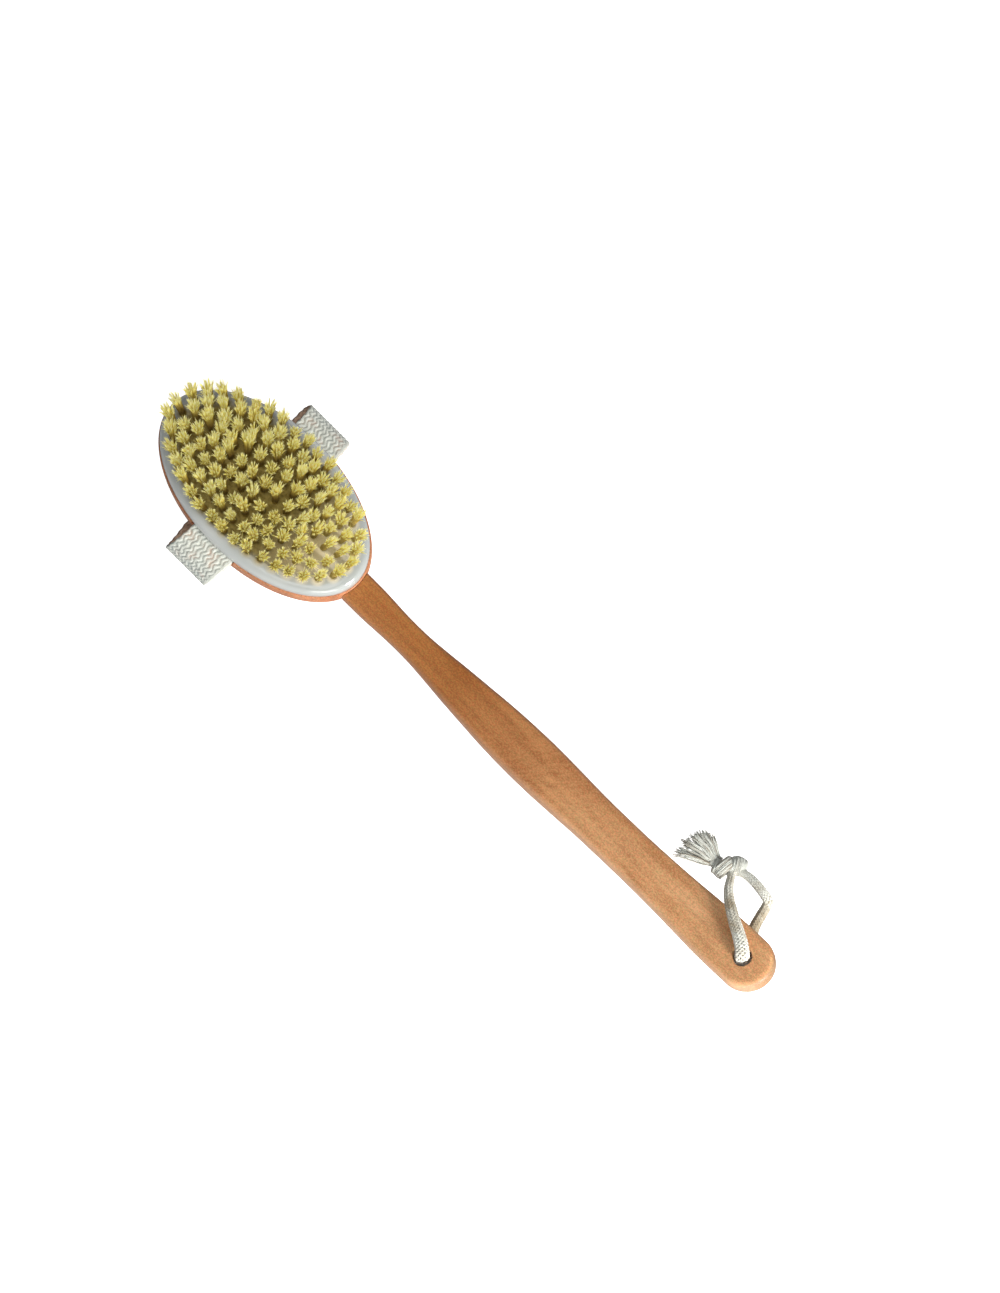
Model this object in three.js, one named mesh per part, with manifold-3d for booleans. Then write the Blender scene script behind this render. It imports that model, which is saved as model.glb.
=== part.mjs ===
// Body dry brush: an oval wooden head with a drilled white plate of natural bristle tufts,
// a cotton hand strap across its back, and a long curved wooden handle whose tongue pushes
// into a mortise in the edge of the head. A cotton cord loop hangs from the end of the handle.
// Millimetres. +X runs from the head along the handle, +Y is across the brush, and +Z is the
// way the bristles point. Everything is laid out from the centre of the head, on the glue line
// between the wooden back and the bristle plate, and the whole brush is then set down so that
// the origin is the middle of the strap's flat underside, where it rests.
import * as THREE from "three";
import { mergeVertices } from "three/addons/utils/BufferGeometryUtils.js";
import Module from "manifold-3d";

const wasm = await Module();
wasm.setup();

// ---------------------------------------------------------------- shared dimensions
const HEAD_A = 66; // half length of the oval wooden back
const HEAD_B = 37.2; // half width of the oval wooden back
const HEAD_SEGMENTS = 56;
const PAD_TOP = 6.3; // top of the bristle plate
const STRAP_W = 28; // webbing width
const STRAP_T = 1.6; // webbing thickness
const STRAP_X = -0.7; // centre of the strap where it leaves the head
const STRAP_LOW_Z = -31; // centre line of the part that crosses the back
const STRAP_SHIFT = -8; // the back part sits this far towards the tip of the head
const TONGUE_L = 41;
const TONGUE_W = 13.8;
const TONGUE_T = 5.8;
const TONGUE_Z = -6.1; // centre of the tongue and of the handle's root
const FIT = 0.3; // clearance round the tongue's section, and between shoulder and rim

// ---------------------------------------------------------------- helpers
const TURN = 2 * Math.PI;
const vec = (x, y, z) => new THREE.Vector3(x, y, z);
const vec2 = (x, y) => new THREE.Vector2(x, y);

// A three.js geometry as a solid for joining and cutting.
function toSolid(geometry) {
  geometry.deleteAttribute("normal");
  geometry.deleteAttribute("uv");
  const merged = mergeVertices(geometry, 1e-4);
  return new wasm.Manifold(
    new wasm.Mesh({
      numProp: 3,
      vertProperties: new Float32Array(merged.attributes.position.array),
      triVerts: new Uint32Array(merged.index.array),
    }),
  );
}

// A solid back as a three.js geometry.
function toGeometry(solid) {
  const { vertProperties, triVerts } = solid.getMesh();
  const geometry = new THREE.BufferGeometry();
  geometry.setAttribute(
    "position",
    new THREE.BufferAttribute(new Float32Array(vertProperties), 3),
  );
  geometry.setIndex(new THREE.BufferAttribute(new Uint32Array(triVerts), 1));
  geometry.computeVertexNormals();
  return geometry;
}

function addMesh(group, name, solid, material) {
  const mesh = new THREE.Mesh(toGeometry(solid), material);
  mesh.name = name;
  group.add(mesh);
}

// A solid box between two limits on each axis.
function box(x0, x1, y0, y1, z0, z1) {
  const geometry = new THREE.BoxGeometry(x1 - x0, y1 - y0, z1 - z0);
  return toSolid(geometry.translate((x0 + x1) / 2, (y0 + y1) / 2, (z0 + z1) / 2));
}

// A turned profile of [radius, z] pairs, standing on Z. Its radius halfLength is kept
// along X and squeezed to halfWidth across Y.
function oval(profile, halfLength, halfWidth, segments) {
  const outline = profile.map(([radius, z]) => vec2(radius, z));
  const geometry = new THREE.LatheGeometry(outline, segments);
  geometry.rotateX(Math.PI / 2);
  geometry.scale(1, halfWidth / halfLength, 1);
  return toSolid(geometry);
}

// Closed rings of equal point count, skinned in order and capped at both ends.
function loft(rings) {
  const count = rings[0].length;
  const last = (rings.length - 1) * count;
  const startCentre = last + count;
  const endCentre = startCentre + 1;
  const next = (j) => (j + 1) % count;
  const index = [];
  for (let start = 0; start < last; start += count)
    for (let j = 0; j < count; j++) {
      const a = start + j;
      const b = start + next(j);
      index.push(a, b, a + count, b, b + count, a + count);
    }
  for (let j = 0; j < count; j++) index.push(startCentre, next(j), j);
  for (let j = 0; j < count; j++) index.push(endCentre, last + j, last + next(j));

  const centre = (ring) =>
    ring.reduce((sum, p) => sum.add(p), vec(0, 0, 0)).divideScalar(count);
  const geometry = new THREE.BufferGeometry().setFromPoints([
    ...rings.flat(),
    centre(rings[0]),
    centre(rings.at(-1)),
  ]);
  geometry.setIndex(index);
  return toSolid(geometry);
}

// Turns a geometry that stands on +Y along an axis and sets its foot on a point.
function standAlong(geometry, foot, axis) {
  const direction = axis.clone().normalize();
  geometry.applyQuaternion(
    new THREE.Quaternion().setFromUnitVectors(vec(0, 1, 0), direction),
  );
  return geometry.translate(foot.x, foot.y, foot.z);
}

// A round frustum between two points.
function frustum(from, to, fromRadius, toRadius, sides) {
  const axis = to.clone().sub(from);
  const length = axis.length();
  const geometry = new THREE.CylinderGeometry(toRadius, fromRadius, length, sides);
  geometry.translate(0, length / 2, 0);
  return toSolid(standAlong(geometry, from, axis));
}

// Reads a table of [x, value] pairs, easing slightly at each entry.
const EASE = 0.35; // share of smoothstep in the blend; the rest is linear
function interpolate(table, x) {
  if (x <= table[0][0]) return table[0][1];
  for (let i = 0; i + 1 < table.length; i++) {
    const [x0, value0] = table[i];
    const [x1, value1] = table[i + 1];
    if (x <= x1) {
      const t = (x - x0) / (x1 - x0);
      const eased = t * t * (3 - 2 * t) * EASE + t * (1 - EASE);
      return value0 + (value1 - value0) * eased;
    }
  }
  return table.at(-1)[1];
}

// ---------------------------------------------------------------- materials
const standard = (settings) => new THREE.MeshStandardMaterial(settings);
const beech = standard({ color: 0xc98a5c, roughness: 0.55, metalness: 0 });
const handleWood = standard({ color: 0xc68451, roughness: 0.55, metalness: 0 });
const plastic = standard({ color: 0xe4e8ea, roughness: 0.28, metalness: 0 });
const bristle = standard({ color: 0xd6c46e, roughness: 0.6, metalness: 0 });
const webbing = standard({ color: 0xe3e3dc, roughness: 0.95, metalness: 0 });
const steel = standard({ color: 0xb9bdc1, roughness: 0.35, metalness: 1 });
const cotton = standard({ color: 0xe9e6db, roughness: 0.95, metalness: 0 });

// ---------------------------------------------------------------- strap staples
const STAPLE_X = 7;
const STAPLE_Y = 26;
const STAPLE_PLACES = [
  [-STAPLE_X, STAPLE_Y],
  [STAPLE_X, STAPLE_Y],
  [-STAPLE_X, -STAPLE_Y],
  [STAPLE_X, -STAPLE_Y],
];
const STAPLE_HALF = 4.6; // half length of the crown
const STAPLE_WIRE = 0.35; // half of the wire's width
const CROWN_Z = [-0.6, -0.1]; // bottom and top of the crown
const LEG_Z = [-7.6, -0.3]; // the legs' tips and their tops, inside the crown
const LEG_GAP = 0.15; // clearance of a hole round its leg
const LEG_HOLE_Z = [LEG_Z[0] - 0.3, 0.5];

// Both legs of a staple as square posts of a given half width, or the holes for them.
function stapleLegs([x, y], halfWidth, [bottom, top]) {
  const reach = STAPLE_HALF - STAPLE_WIRE;
  return [x - reach, x + reach].map((legX) =>
    box(legX - halfWidth, legX + halfWidth, y - halfWidth, y + halfWidth, bottom, top),
  );
}

function makeStaple(place) {
  const [x, y] = place;
  const crown = box(
    x - STAPLE_HALF,
    x + STAPLE_HALF,
    y - STAPLE_WIRE,
    y + STAPLE_WIRE,
    ...CROWN_Z,
  );
  const legs = stapleLegs(place, STAPLE_WIRE, LEG_Z);
  return legs.reduce((staple, leg) => staple.add(leg), crown);
}

const stapleHoles = STAPLE_PLACES.flatMap((place) =>
  stapleLegs(place, STAPLE_WIRE + LEG_GAP, LEG_HOLE_Z),
);

// ---------------------------------------------------------------- wooden back
const BACK_T = 13; // thickness of the wooden back
const MORTISE_END_GAP = 0.6; // space beyond the tongue's end
const SEAT_Z = -2.6; // floor of the strap seats
const SEAT_GAP = 0.4; // clearance on each edge of the webbing
const SEAT_INNER_Y = 20.5;
const SEAT_OUTER_Y = HEAD_B + 2; // runs out through the rim

// [radius, z]: flat back, a soft shoulder, then a straight rim with a small chamfer.
const BACK_PROFILE = [
  [0, -BACK_T],
  [HEAD_A - 15, -BACK_T],
  [HEAD_A - 9, -BACK_T + 0.7],
  [HEAD_A - 4.6, -BACK_T + 2.2],
  [HEAD_A - 1.9, -BACK_T + 4.4],
  [HEAD_A - 0.4, -BACK_T + 7],
  [HEAD_A, -BACK_T + 9],
  [HEAD_A, -0.6],
  [HEAD_A - 0.6, 0],
  [0, 0],
];

function makeBack() {
  // Mortise for the handle's tongue, open at the handle end of the rim.
  const mortise = box(
    HEAD_A - TONGUE_L - MORTISE_END_GAP,
    HEAD_A + 4,
    -TONGUE_W / 2 - FIT,
    TONGUE_W / 2 + FIT,
    TONGUE_Z - TONGUE_T / 2 - FIT,
    TONGUE_Z + TONGUE_T / 2 + FIT,
  );
  let back = oval(BACK_PROFILE, HEAD_A, HEAD_B, HEAD_SEGMENTS).subtract(mortise);

  // Shallow seats that let the strap's ends lie under the plate.
  const seatHalf = STRAP_W / 2 + SEAT_GAP;
  for (const [y0, y1] of [
    [SEAT_INNER_Y, SEAT_OUTER_Y],
    [-SEAT_OUTER_Y, -SEAT_INNER_Y],
  ])
    back = back.subtract(
      box(STRAP_X - seatHalf, STRAP_X + seatHalf, y0, y1, SEAT_Z, 2),
    );
  for (const hole of stapleHoles) back = back.subtract(hole);
  return back;
}

// ---------------------------------------------------------------- tuft layout
const OUTER_ROW_A = 57; // half length of the outer row
const OUTER_ROW_B = 28.6; // half width of the outer row
const MIDDLE_PITCH = 7.8;
const LEAN_X = 0.3; // outward lean at the ends of the outer row, per unit of height
const LEAN_Y = 0.16; // outward lean at its sides

// Points at an even pitch along an oval, starting from an angle.
function ovalRow(halfLength, halfWidth, count, startAngle) {
  const steps = 2000;
  const path = [];
  const travelled = [0];
  for (let i = 0; i <= steps; i++) {
    const angle = (i / steps) * TURN + startAngle;
    path.push(vec2(halfLength * Math.cos(angle), halfWidth * Math.sin(angle)));
    if (i) travelled.push(travelled[i - 1] + path[i].distanceTo(path[i - 1]));
  }
  const places = [];
  let k = 0;
  for (let j = 0; j < count; j++) {
    const target = (j / count) * travelled[steps];
    while (travelled[k + 1] < target) k++;
    const t = (target - travelled[k]) / (travelled[k + 1] - travelled[k]);
    const place = path[k].clone().lerp(path[k + 1], t);
    places.push([place.x, place.y]);
  }
  return places;
}

const middleRow = [...Array(7)].map((_, i) => [(i - 3) * MIDDLE_PITCH, 0]);

// Name, tuft places, and how many tufts each separate piece of the row holds.
const TUFT_ROWS = [
  ["tuft_row_outer", ovalRow(OUTER_ROW_A, OUTER_ROW_B, 36, 0.05), [9, 9, 9, 9]],
  ["tuft_row_second", ovalRow(49.6, 21.8, 31, 0.12), [8, 8, 8, 7]],
  ["tuft_row_third", ovalRow(42, 15, 25, 0.03), [9, 8, 8]],
  ["tuft_row_fourth", ovalRow(34.6, 8.2, 19, 0.16), [10, 9]],
  ["tuft_row_middle", middleRow, [7]],
];

// The point at height z on the leaning axis of the tuft at x, y on the plate's top.
function onTuft(x, y, z) {
  const rise = z - PAD_TOP;
  return vec(
    x + ((LEAN_X * x) / OUTER_ROW_A) * rise,
    y + ((LEAN_Y * y) / OUTER_ROW_B) * rise,
    z,
  );
}

// ---------------------------------------------------------------- bristle plate
const PAD_INSET = 0.8; // the plate stops this far inside the wood's edge
const PAD_A = HEAD_A - PAD_INSET;
const PAD_B = HEAD_B - PAD_INSET;
const GLUE = 0.1; // glue line under the plate
const PAD_WALL = 4.4; // rim left round the hollow
const RECESS_A = PAD_A - PAD_WALL;
const RECESS_B = PAD_B - PAD_WALL;
const RECESS_TOP = 1.5; // roof of the shallow hollow under the plate, where the wires run
const TUFT_HOLE_R = 1.95;

// [radius, z]: straight edge rounded over to a flat top.
const PAD_PROFILE = [
  [0, GLUE],
  [PAD_A, GLUE],
  [PAD_A, 2.4],
  [PAD_A - 0.7, 4.0],
  [PAD_A - 2.2, 5.3],
  [PAD_A - 4.6, 6.05],
  [PAD_A - 7.2, PAD_TOP],
  [0, PAD_TOP],
];
const RECESS_PROFILE = [
  [0, -1],
  [RECESS_A, -1],
  [RECESS_A, RECESS_TOP],
  [0, RECESS_TOP],
];

function makePad() {
  const recess = oval(RECESS_PROFILE, RECESS_A, RECESS_B, 40);
  let pad = oval(PAD_PROFILE, PAD_A, PAD_B, HEAD_SEGMENTS).subtract(recess);
  for (const [x, y] of TUFT_ROWS.flatMap(([, places]) => places)) {
    const from = onTuft(x, y, 0.2);
    const to = onTuft(x, y, PAD_TOP + 1.5);
    pad = pad.subtract(frustum(from, to, TUFT_HOLE_R, TUFT_HOLE_R, 6));
  }
  return pad;
}

// ---------------------------------------------------------------- bristle tufts
const TUFT_ROOT_R = 1.65;
const TUFT_TIP_R = 2.75;
const TUFT_FOOT_Z = 0.6;
const TUFT_COLLAR_Z = PAD_TOP + 0.4; // where the straight root starts to flare
const TUFT_TIP_Z = 24.6; // trimmed height of the middle tufts
const TUFT_TIP_DROP = 2.08; // the outer row is trimmed this much lower
const WIRE_Z = 0.8; // height at which the wire follows the tufts' axes
const WIRE_BOTTOM = 0.4;
const WIRE_TOP = 1.15;
const WIRE_HALF = 0.45; // half width of the wire

// One tuft: a straight root through the plate, flaring to its trimmed tip.
function makeTuft(x, y) {
  const outward = (x / OUTER_ROW_A) ** 2 + (y / OUTER_ROW_B) ** 2;
  const foot = onTuft(x, y, TUFT_FOOT_Z);
  const tip = onTuft(x, y, TUFT_TIP_Z - TUFT_TIP_DROP * outward);
  const axis = tip.clone().sub(foot);
  const length = axis.length();
  const collar = (length * (TUFT_COLLAR_Z - TUFT_FOOT_Z)) / axis.z;
  const profile = [
    vec2(0, 0),
    vec2(TUFT_ROOT_R, 0),
    vec2(TUFT_ROOT_R, collar),
    vec2(TUFT_TIP_R, length),
    vec2(0, length),
  ];
  return toSolid(standAlong(new THREE.LatheGeometry(profile, 6), foot, axis));
}

// The flat wire in the hollow under the plate, over which a run of tufts is folded.
function makeWire(places) {
  const path = places.map(([x, y]) => onTuft(x, y, WIRE_Z));
  const sections = path.map((p, i) => {
    const before = path[Math.max(0, i - 1)];
    const after = path[Math.min(path.length - 1, i + 1)];
    const along = after.clone().sub(before).normalize();
    const sideX = -along.y * WIRE_HALF;
    const sideY = along.x * WIRE_HALF;
    return [
      vec(p.x + sideX, p.y + sideY, WIRE_BOTTOM),
      vec(p.x + sideX, p.y + sideY, WIRE_TOP),
      vec(p.x - sideX, p.y - sideY, WIRE_TOP),
      vec(p.x - sideX, p.y - sideY, WIRE_BOTTOM),
    ];
  });
  return loft(sections);
}

function addTuftRows(group) {
  for (const [name, places, split] of TUFT_ROWS) {
    let start = 0;
    split.forEach((count, i) => {
      const run = places.slice(start, start + count);
      start += count;
      const row = run.reduce((body, [x, y]) => body.add(makeTuft(x, y)), makeWire(run));
      addMesh(group, split.length > 1 ? `${name}_${i + 1}` : name, row, bristle);
    });
  }
}

// ---------------------------------------------------------------- hand strap
const STRAP_END_Z = -1.5; // centre line of the ends, under the plate
const STRAP_PART_Z = -12; // splits the run near the plate from the run across the back
const STRAP_END_FLAT_Y = 37.7; // the ends are flat up to here
const STRAP_LOW_FLAT_Y = 31; // the part across the back is flat up to here
const SHIFT_START_Z = -2.6; // the sideways shift grows from here down
const SHIFT_DEPTH = 24; // over this depth

// [y, z] of the webbing's centre line on the +Y side, from its end to mid brush.
const STRAP_LINE = [
  [22, STRAP_END_Z], [29, STRAP_END_Z], [37.6, -1.55], [42.2, -2.5], [46, -5.4],
  [48.3, -9.6], [49.2, -15], [48.2, -20.8], [45.2, -25.8], [40.4, -29.2],
  [34, -30.8], [28, STRAP_LOW_Z], [14, STRAP_LOW_Z], [0, STRAP_LOW_Z],
];

// The whole centre line. Its points hold the brush's Y and Z in x and y.
function strapCentreLine() {
  const curve = new THREE.SplineCurve(STRAP_LINE.map(([y, z]) => vec2(y, z)));
  const half = curve.getSpacedPoints(30);
  // Take out the spline's ripple where the webbing lies flat.
  for (const p of half) {
    if (p.y > STRAP_PART_Z && p.x < STRAP_END_FLAT_Y) p.y = STRAP_END_Z;
    if (p.y < STRAP_PART_Z && p.x < STRAP_LOW_FLAT_Y) p.y = STRAP_LOW_Z;
  }
  const mirrored = half.slice(0, -1).reverse().map((p) => vec2(-p.x, p.y));
  return [...half, ...mirrored];
}

function makeStrap() {
  const line = strapCentreLine();
  const outer = [];
  const inner = [];
  line.forEach((p, i) => {
    const before = line[Math.max(0, i - 1)];
    const after = line[Math.min(line.length - 1, i + 1)];
    const along = after.clone().sub(before).normalize();
    const offset = vec2(-along.y, along.x).multiplyScalar(STRAP_T / 2);
    outer.push(p.clone().add(offset));
    inner.push(p.clone().sub(offset));
  });
  const band = new THREE.Shape([...outer, ...inner.reverse()]);
  const geometry = new THREE.ExtrudeGeometry(band, {
    depth: STRAP_W,
    steps: 1,
    bevelEnabled: false,
  });
  // Shape x, y become the brush's Y, Z, and the extrusion runs along X.
  geometry.applyMatrix4(
    new THREE.Matrix4().set(
      0, 0, 1, STRAP_X - STRAP_W / 2,
      1, 0, 0, 0,
      0, 1, 0, 0,
      0, 0, 0, 1,
    ),
  );
  // The part across the back has slid a little towards the tip of the head.
  const { position } = geometry.attributes;
  for (let i = 0; i < position.count; i++) {
    const depth = SHIFT_START_Z - position.getZ(i);
    const share = THREE.MathUtils.smoothstep(depth, 0, SHIFT_DEPTH);
    position.setX(i, position.getX(i) + STRAP_SHIFT * share);
  }
  const holes = stapleHoles.reduce((joined, hole) => joined.add(hole));
  return toSolid(geometry).subtract(holes);
}

// ---------------------------------------------------------------- handle
const BOW = 3.8e-4; // the handle rises by this times the square of its length
const HANDLE_START = 61; // inside the rim, before the shoulder is hollowed
const HANDLE_END = 356; // tip of the handle
const END_R = 14.2; // radius of the rounded end in plan
const END_CENTRE = HANDLE_END - END_R;
const STATION_PITCH = 9;
const END_STEPS = 7; // stations round the end
const MIN_WIDTH = 1.6; // width left at the very tip
const EDGE_R = 3.4; // largest radius of the rounded edges
const EDGE_SHARE = 0.72; // and its limit as a share of half the section
const HOLE_X = 339.8; // centre of the hanging hole
const HOLE_R = 4.6;

// [x, full width]
const WIDTHS = [
  [66, 17.8], [78, 17.6], [92, 16.2], [102, 15.8], [112, 16.3],
  [124, 18.2], [136, 20.4], [150, 22.5], [166, 24.8], [182, 26.0],
  [199, 26.1], [216, 25.0], [233, 23.8], [250, 23.5], [266, 23.7],
  [284, 24.6], [300, 26.0], [316, 27.7], [330, 28.4], [342, 28.4],
];
// [x, full thickness]
const THICKNESSES = [
  [66, 9.6], [100, 10], [150, 11.6], [205, 12.6],
  [260, 11.4], [310, 10], [342, 9.4], [356, 9.2],
];

const pastHead = (x) => Math.max(0, x - HEAD_A);
const bowHeight = (x) => TONGUE_Z + BOW * pastHead(x) ** 2;
const bowSlope = (x) => 2 * BOW * pastHead(x);

function handleWidth(x) {
  if (x <= END_CENTRE) return interpolate(WIDTHS, x);
  const reach = (x - END_CENTRE) / END_R;
  return Math.max(MIN_WIDTH, 2 * END_R * Math.sqrt(1 - reach * reach));
}

// A rounded rectangle across the handle: flat faces with well rounded edges.
function handleSection(x) {
  const halfWidth = handleWidth(x) / 2;
  const halfThick = interpolate(THICKNESSES, x) / 2;
  const radius = Math.min(EDGE_R, halfThick * EDGE_SHARE, halfWidth * EDGE_SHARE);
  const up = vec(-bowSlope(x), 0, 1).normalize();
  const corners = [[1, 1], [-1, 1], [-1, -1], [1, -1]]; // signs of y and height
  return corners.flatMap(([signY, signUp], quarter) =>
    [0, 1, 2, 3].map((k) => {
      const angle = (quarter + k / 3) * (Math.PI / 2);
      const y = signY * (halfWidth - radius) + radius * Math.cos(angle);
      const height = signUp * (halfThick - radius) + radius * Math.sin(angle);
      return vec(x, y, bowHeight(x)).addScaledVector(up, height);
    }),
  );
}

// The frame of the hanging hole: at its centre, with Z square to the local face.
function makeHoleFrame() {
  const frame = new THREE.Group();
  frame.position.set(HOLE_X, 0, bowHeight(HOLE_X));
  frame.rotation.y = -Math.atan(bowSlope(HOLE_X));
  frame.updateMatrixWorld(true);
  return frame;
}

function makeHandle(holeFrame) {
  const stations = [];
  for (let x = HANDLE_START; x < END_CENTRE - 4; x += STATION_PITCH) stations.push(x);
  // The last station stops just short of the tip, where the width would vanish.
  for (let k = 0; k <= END_STEPS; k++) {
    const angle = (k / END_STEPS) * (Math.PI / 2);
    stations.push(END_CENTRE + (END_R - 0.02) * Math.sin(angle));
  }

  // The shoulder is hollowed to follow the rim of the head.
  const rimA = HEAD_A + FIT;
  const rimProfile = [
    [0, -40],
    [rimA, -40],
    [rimA, 20],
    [0, 20],
  ];
  const rim = oval(rimProfile, rimA, HEAD_B + FIT, HEAD_SEGMENTS);
  const tongue = box(
    HEAD_A - TONGUE_L,
    HEAD_A + 6,
    -TONGUE_W / 2,
    TONGUE_W / 2,
    TONGUE_Z - TONGUE_T / 2,
    TONGUE_Z + TONGUE_T / 2,
  );
  const hole = new THREE.CylinderGeometry(HOLE_R, HOLE_R, 40, 24);
  hole.rotateX(Math.PI / 2);
  hole.applyMatrix4(holeFrame.matrixWorld);
  return loft(stations.map(handleSection))
    .subtract(rim)
    .add(tongue)
    .subtract(toSolid(hole));
}

// ---------------------------------------------------------------- hanging cord
// One cotton cord: down through the hole, under the handle, out past its edge and back up
// to a knot that joins both ends, with a tassel beyond it. Laid out in the hole's frame.
const CORD_R = 2.7;
const KNOT = [-36.5, 27.8, 5];
const CORD_PATH = [
  KNOT, [-31, 22.5, 7.6], [-24, 15.8, 9.0], [-15, 9.2, 9.2],
  [-7.2, 4.2, 8.9], [-2.2, 1.2, 7.2], [-0.2, 0.1, 3.6], [-0.1, 0.1, -3.6],
  [-0.6, 2.0, -7.4], [-2.4, 7.0, -9.0], [-5.2, 13.2, -9.2], [-7.2, 19.6, -8.0],
  [-8.4, 25.4, -4.6], [-10.6, 30.0, 0], [-16, 32.6, 3.4], [-24, 32.2, 5],
  [-30.5, 30.2, 5.2], KNOT,
];

function makeCord() {
  const section = [...Array(8)].map((_, i) => {
    const angle = (i / 8) * TURN;
    return vec2(CORD_R * Math.cos(angle), CORD_R * Math.sin(angle));
  });
  const loop = new THREE.ExtrudeGeometry(new THREE.Shape(section), {
    steps: 46,
    extrudePath: new THREE.CatmullRomCurve3(CORD_PATH.map((p) => vec(...p))),
    bevelEnabled: false,
  });
  const knot = new THREE.SphereGeometry(1, 12, 8);
  knot.scale(8, 6.6, 6.2);
  knot.rotateZ(0.1);
  knot.translate(...KNOT);
  const tassel = frustum(vec(-40, 26.8, 5.4), vec(-62, 26.2, 9), 3.4, 6.2, 10);
  return toSolid(loop).add(toSolid(knot)).add(tassel);
}

// ---------------------------------------------------------------- assembly
const head = new THREE.Group();
addMesh(head, "back_plate", makeBack(), beech);
addMesh(head, "bristle_pad", makePad(), plastic);
addTuftRows(head);
STAPLE_PLACES.forEach((place, i) =>
  addMesh(head, `strap_staple_${i + 1}`, makeStaple(place), steel),
);
addMesh(head, "hand_strap", makeStrap(), webbing);

const handleGroup = new THREE.Group();
const holeFrame = makeHoleFrame();
addMesh(handleGroup, "handle", makeHandle(holeFrame), handleWood);
addMesh(holeFrame, "hanging_cord", makeCord(), cotton);
handleGroup.add(holeFrame);

// Set the brush down on the flat underside of its strap.
const brush = new THREE.Group();
brush.add(head, handleGroup);
brush.position.set(-(STRAP_X + STRAP_SHIFT), 0, -(STRAP_LOW_Z - STRAP_T / 2));

const part = new THREE.Group();
part.add(brush);

export default part;
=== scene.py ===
"""A wooden bath brush: an oval beech head, white bristle plate, webbing hand strap, long
bowed handle and a knotted hanging cord.

The design frame is in millimetres from the centre of the head on its glue line. The handle
runs along +x, the head's tip is at -x, the bristles point to +z and the strap hangs at -z.
"""
import math
import bmesh
import bpy
import numpy as np
from mathutils import Matrix, Vector


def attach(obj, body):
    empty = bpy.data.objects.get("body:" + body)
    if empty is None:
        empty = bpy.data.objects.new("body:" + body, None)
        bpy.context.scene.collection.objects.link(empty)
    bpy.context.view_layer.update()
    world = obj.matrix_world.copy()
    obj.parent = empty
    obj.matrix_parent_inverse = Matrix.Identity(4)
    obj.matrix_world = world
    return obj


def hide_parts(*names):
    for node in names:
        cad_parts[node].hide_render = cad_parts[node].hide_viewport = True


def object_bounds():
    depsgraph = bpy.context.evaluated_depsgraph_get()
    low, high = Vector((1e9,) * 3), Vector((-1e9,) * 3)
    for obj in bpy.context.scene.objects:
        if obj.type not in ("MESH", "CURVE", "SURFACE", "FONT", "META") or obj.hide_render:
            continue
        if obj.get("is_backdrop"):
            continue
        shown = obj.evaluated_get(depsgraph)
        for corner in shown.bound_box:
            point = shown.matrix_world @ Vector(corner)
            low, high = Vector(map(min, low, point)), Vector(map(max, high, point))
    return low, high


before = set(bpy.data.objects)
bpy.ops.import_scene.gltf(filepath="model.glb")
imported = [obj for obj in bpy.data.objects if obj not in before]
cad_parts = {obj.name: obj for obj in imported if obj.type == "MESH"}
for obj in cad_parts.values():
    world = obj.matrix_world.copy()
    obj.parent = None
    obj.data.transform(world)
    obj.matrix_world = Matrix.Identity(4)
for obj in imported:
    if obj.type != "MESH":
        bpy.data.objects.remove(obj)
CAD_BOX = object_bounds()

ORIGIN = np.array([8.7, 0.0, 31.8])  # design origin in the scene, mm

# ------------------------------------------------------------------ driving dimensions, mm
HEAD_A, HEAD_B = 66.0, 37.2  # half length and half width of the head
BACK_THICK = 13.0
PLATE_INSET, PLATE_TOP = 0.8, 6.3
STRAP_WIDTH, STRAP_THICK, STRAP_X = 28.0, 1.6, -0.7
TONGUE_LENGTH, TONGUE_WIDTH, TONGUE_THICK, TONGUE_Z = 41.0, 13.8, 5.8, -6.1
BOW = 3.8e-4  # handle rise per squared distance from the head
HANDLE_START, HANDLE_END, END_R = 60.0, 356.0, 14.2
HOLE_X, HOLE_R = 339.8, 4.6


# ------------------------------------------------------------------ mesh helpers
def mesh_obj(name, points, faces, material=None, smooth=True):
    """Builds a mesh from design-frame points. faces is a list of index arrays."""
    points = (np.asarray(points, float) + ORIGIN) / 1000.0
    faces = [np.asarray(f, np.int32) for f in faces]
    mesh = bpy.data.meshes.new(name)
    mesh.vertices.add(len(points))
    mesh.vertices.foreach_set("co", points.astype(np.float32).ravel())
    loops = np.concatenate([f.ravel() for f in faces])
    sizes = np.concatenate([np.full(len(f), f.shape[1], np.int32) for f in faces])
    starts = np.concatenate([[0], np.cumsum(sizes)[:-1]]).astype(np.int32)
    mesh.loops.add(len(loops))
    mesh.loops.foreach_set("vertex_index", loops)
    mesh.polygons.add(len(sizes))
    mesh.polygons.foreach_set("loop_start", starts)
    mesh.polygons.foreach_set("use_smooth", np.full(len(sizes), smooth))
    mesh.update(calc_edges=True)
    obj = bpy.data.objects.new(name, mesh)
    bpy.context.scene.collection.objects.link(obj)
    if material is not None:
        mesh.materials.append(material)
    return obj


def read_points(obj):
    flat = np.zeros(len(obj.data.vertices) * 3, np.float32)
    obj.data.vertices.foreach_get("co", flat)
    return flat.reshape(-1, 3).astype(float) * 1000 - ORIGIN


def write_points(obj, points):
    flat = ((points + ORIGIN) / 1000).astype(np.float32).ravel()
    obj.data.vertices.foreach_set("co", flat)
    obj.data.update()


def set_attribute(obj, name, values):
    attribute = obj.data.attributes.new(name, "FLOAT", "POINT")
    attribute.data.foreach_set("value", np.asarray(values, np.float32).ravel())


def register(obj, part, node=None):
    """Tells the frame which CAD node the object replaces and its moving part."""
    if node:
        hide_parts(node)
    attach(obj, part)


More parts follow.
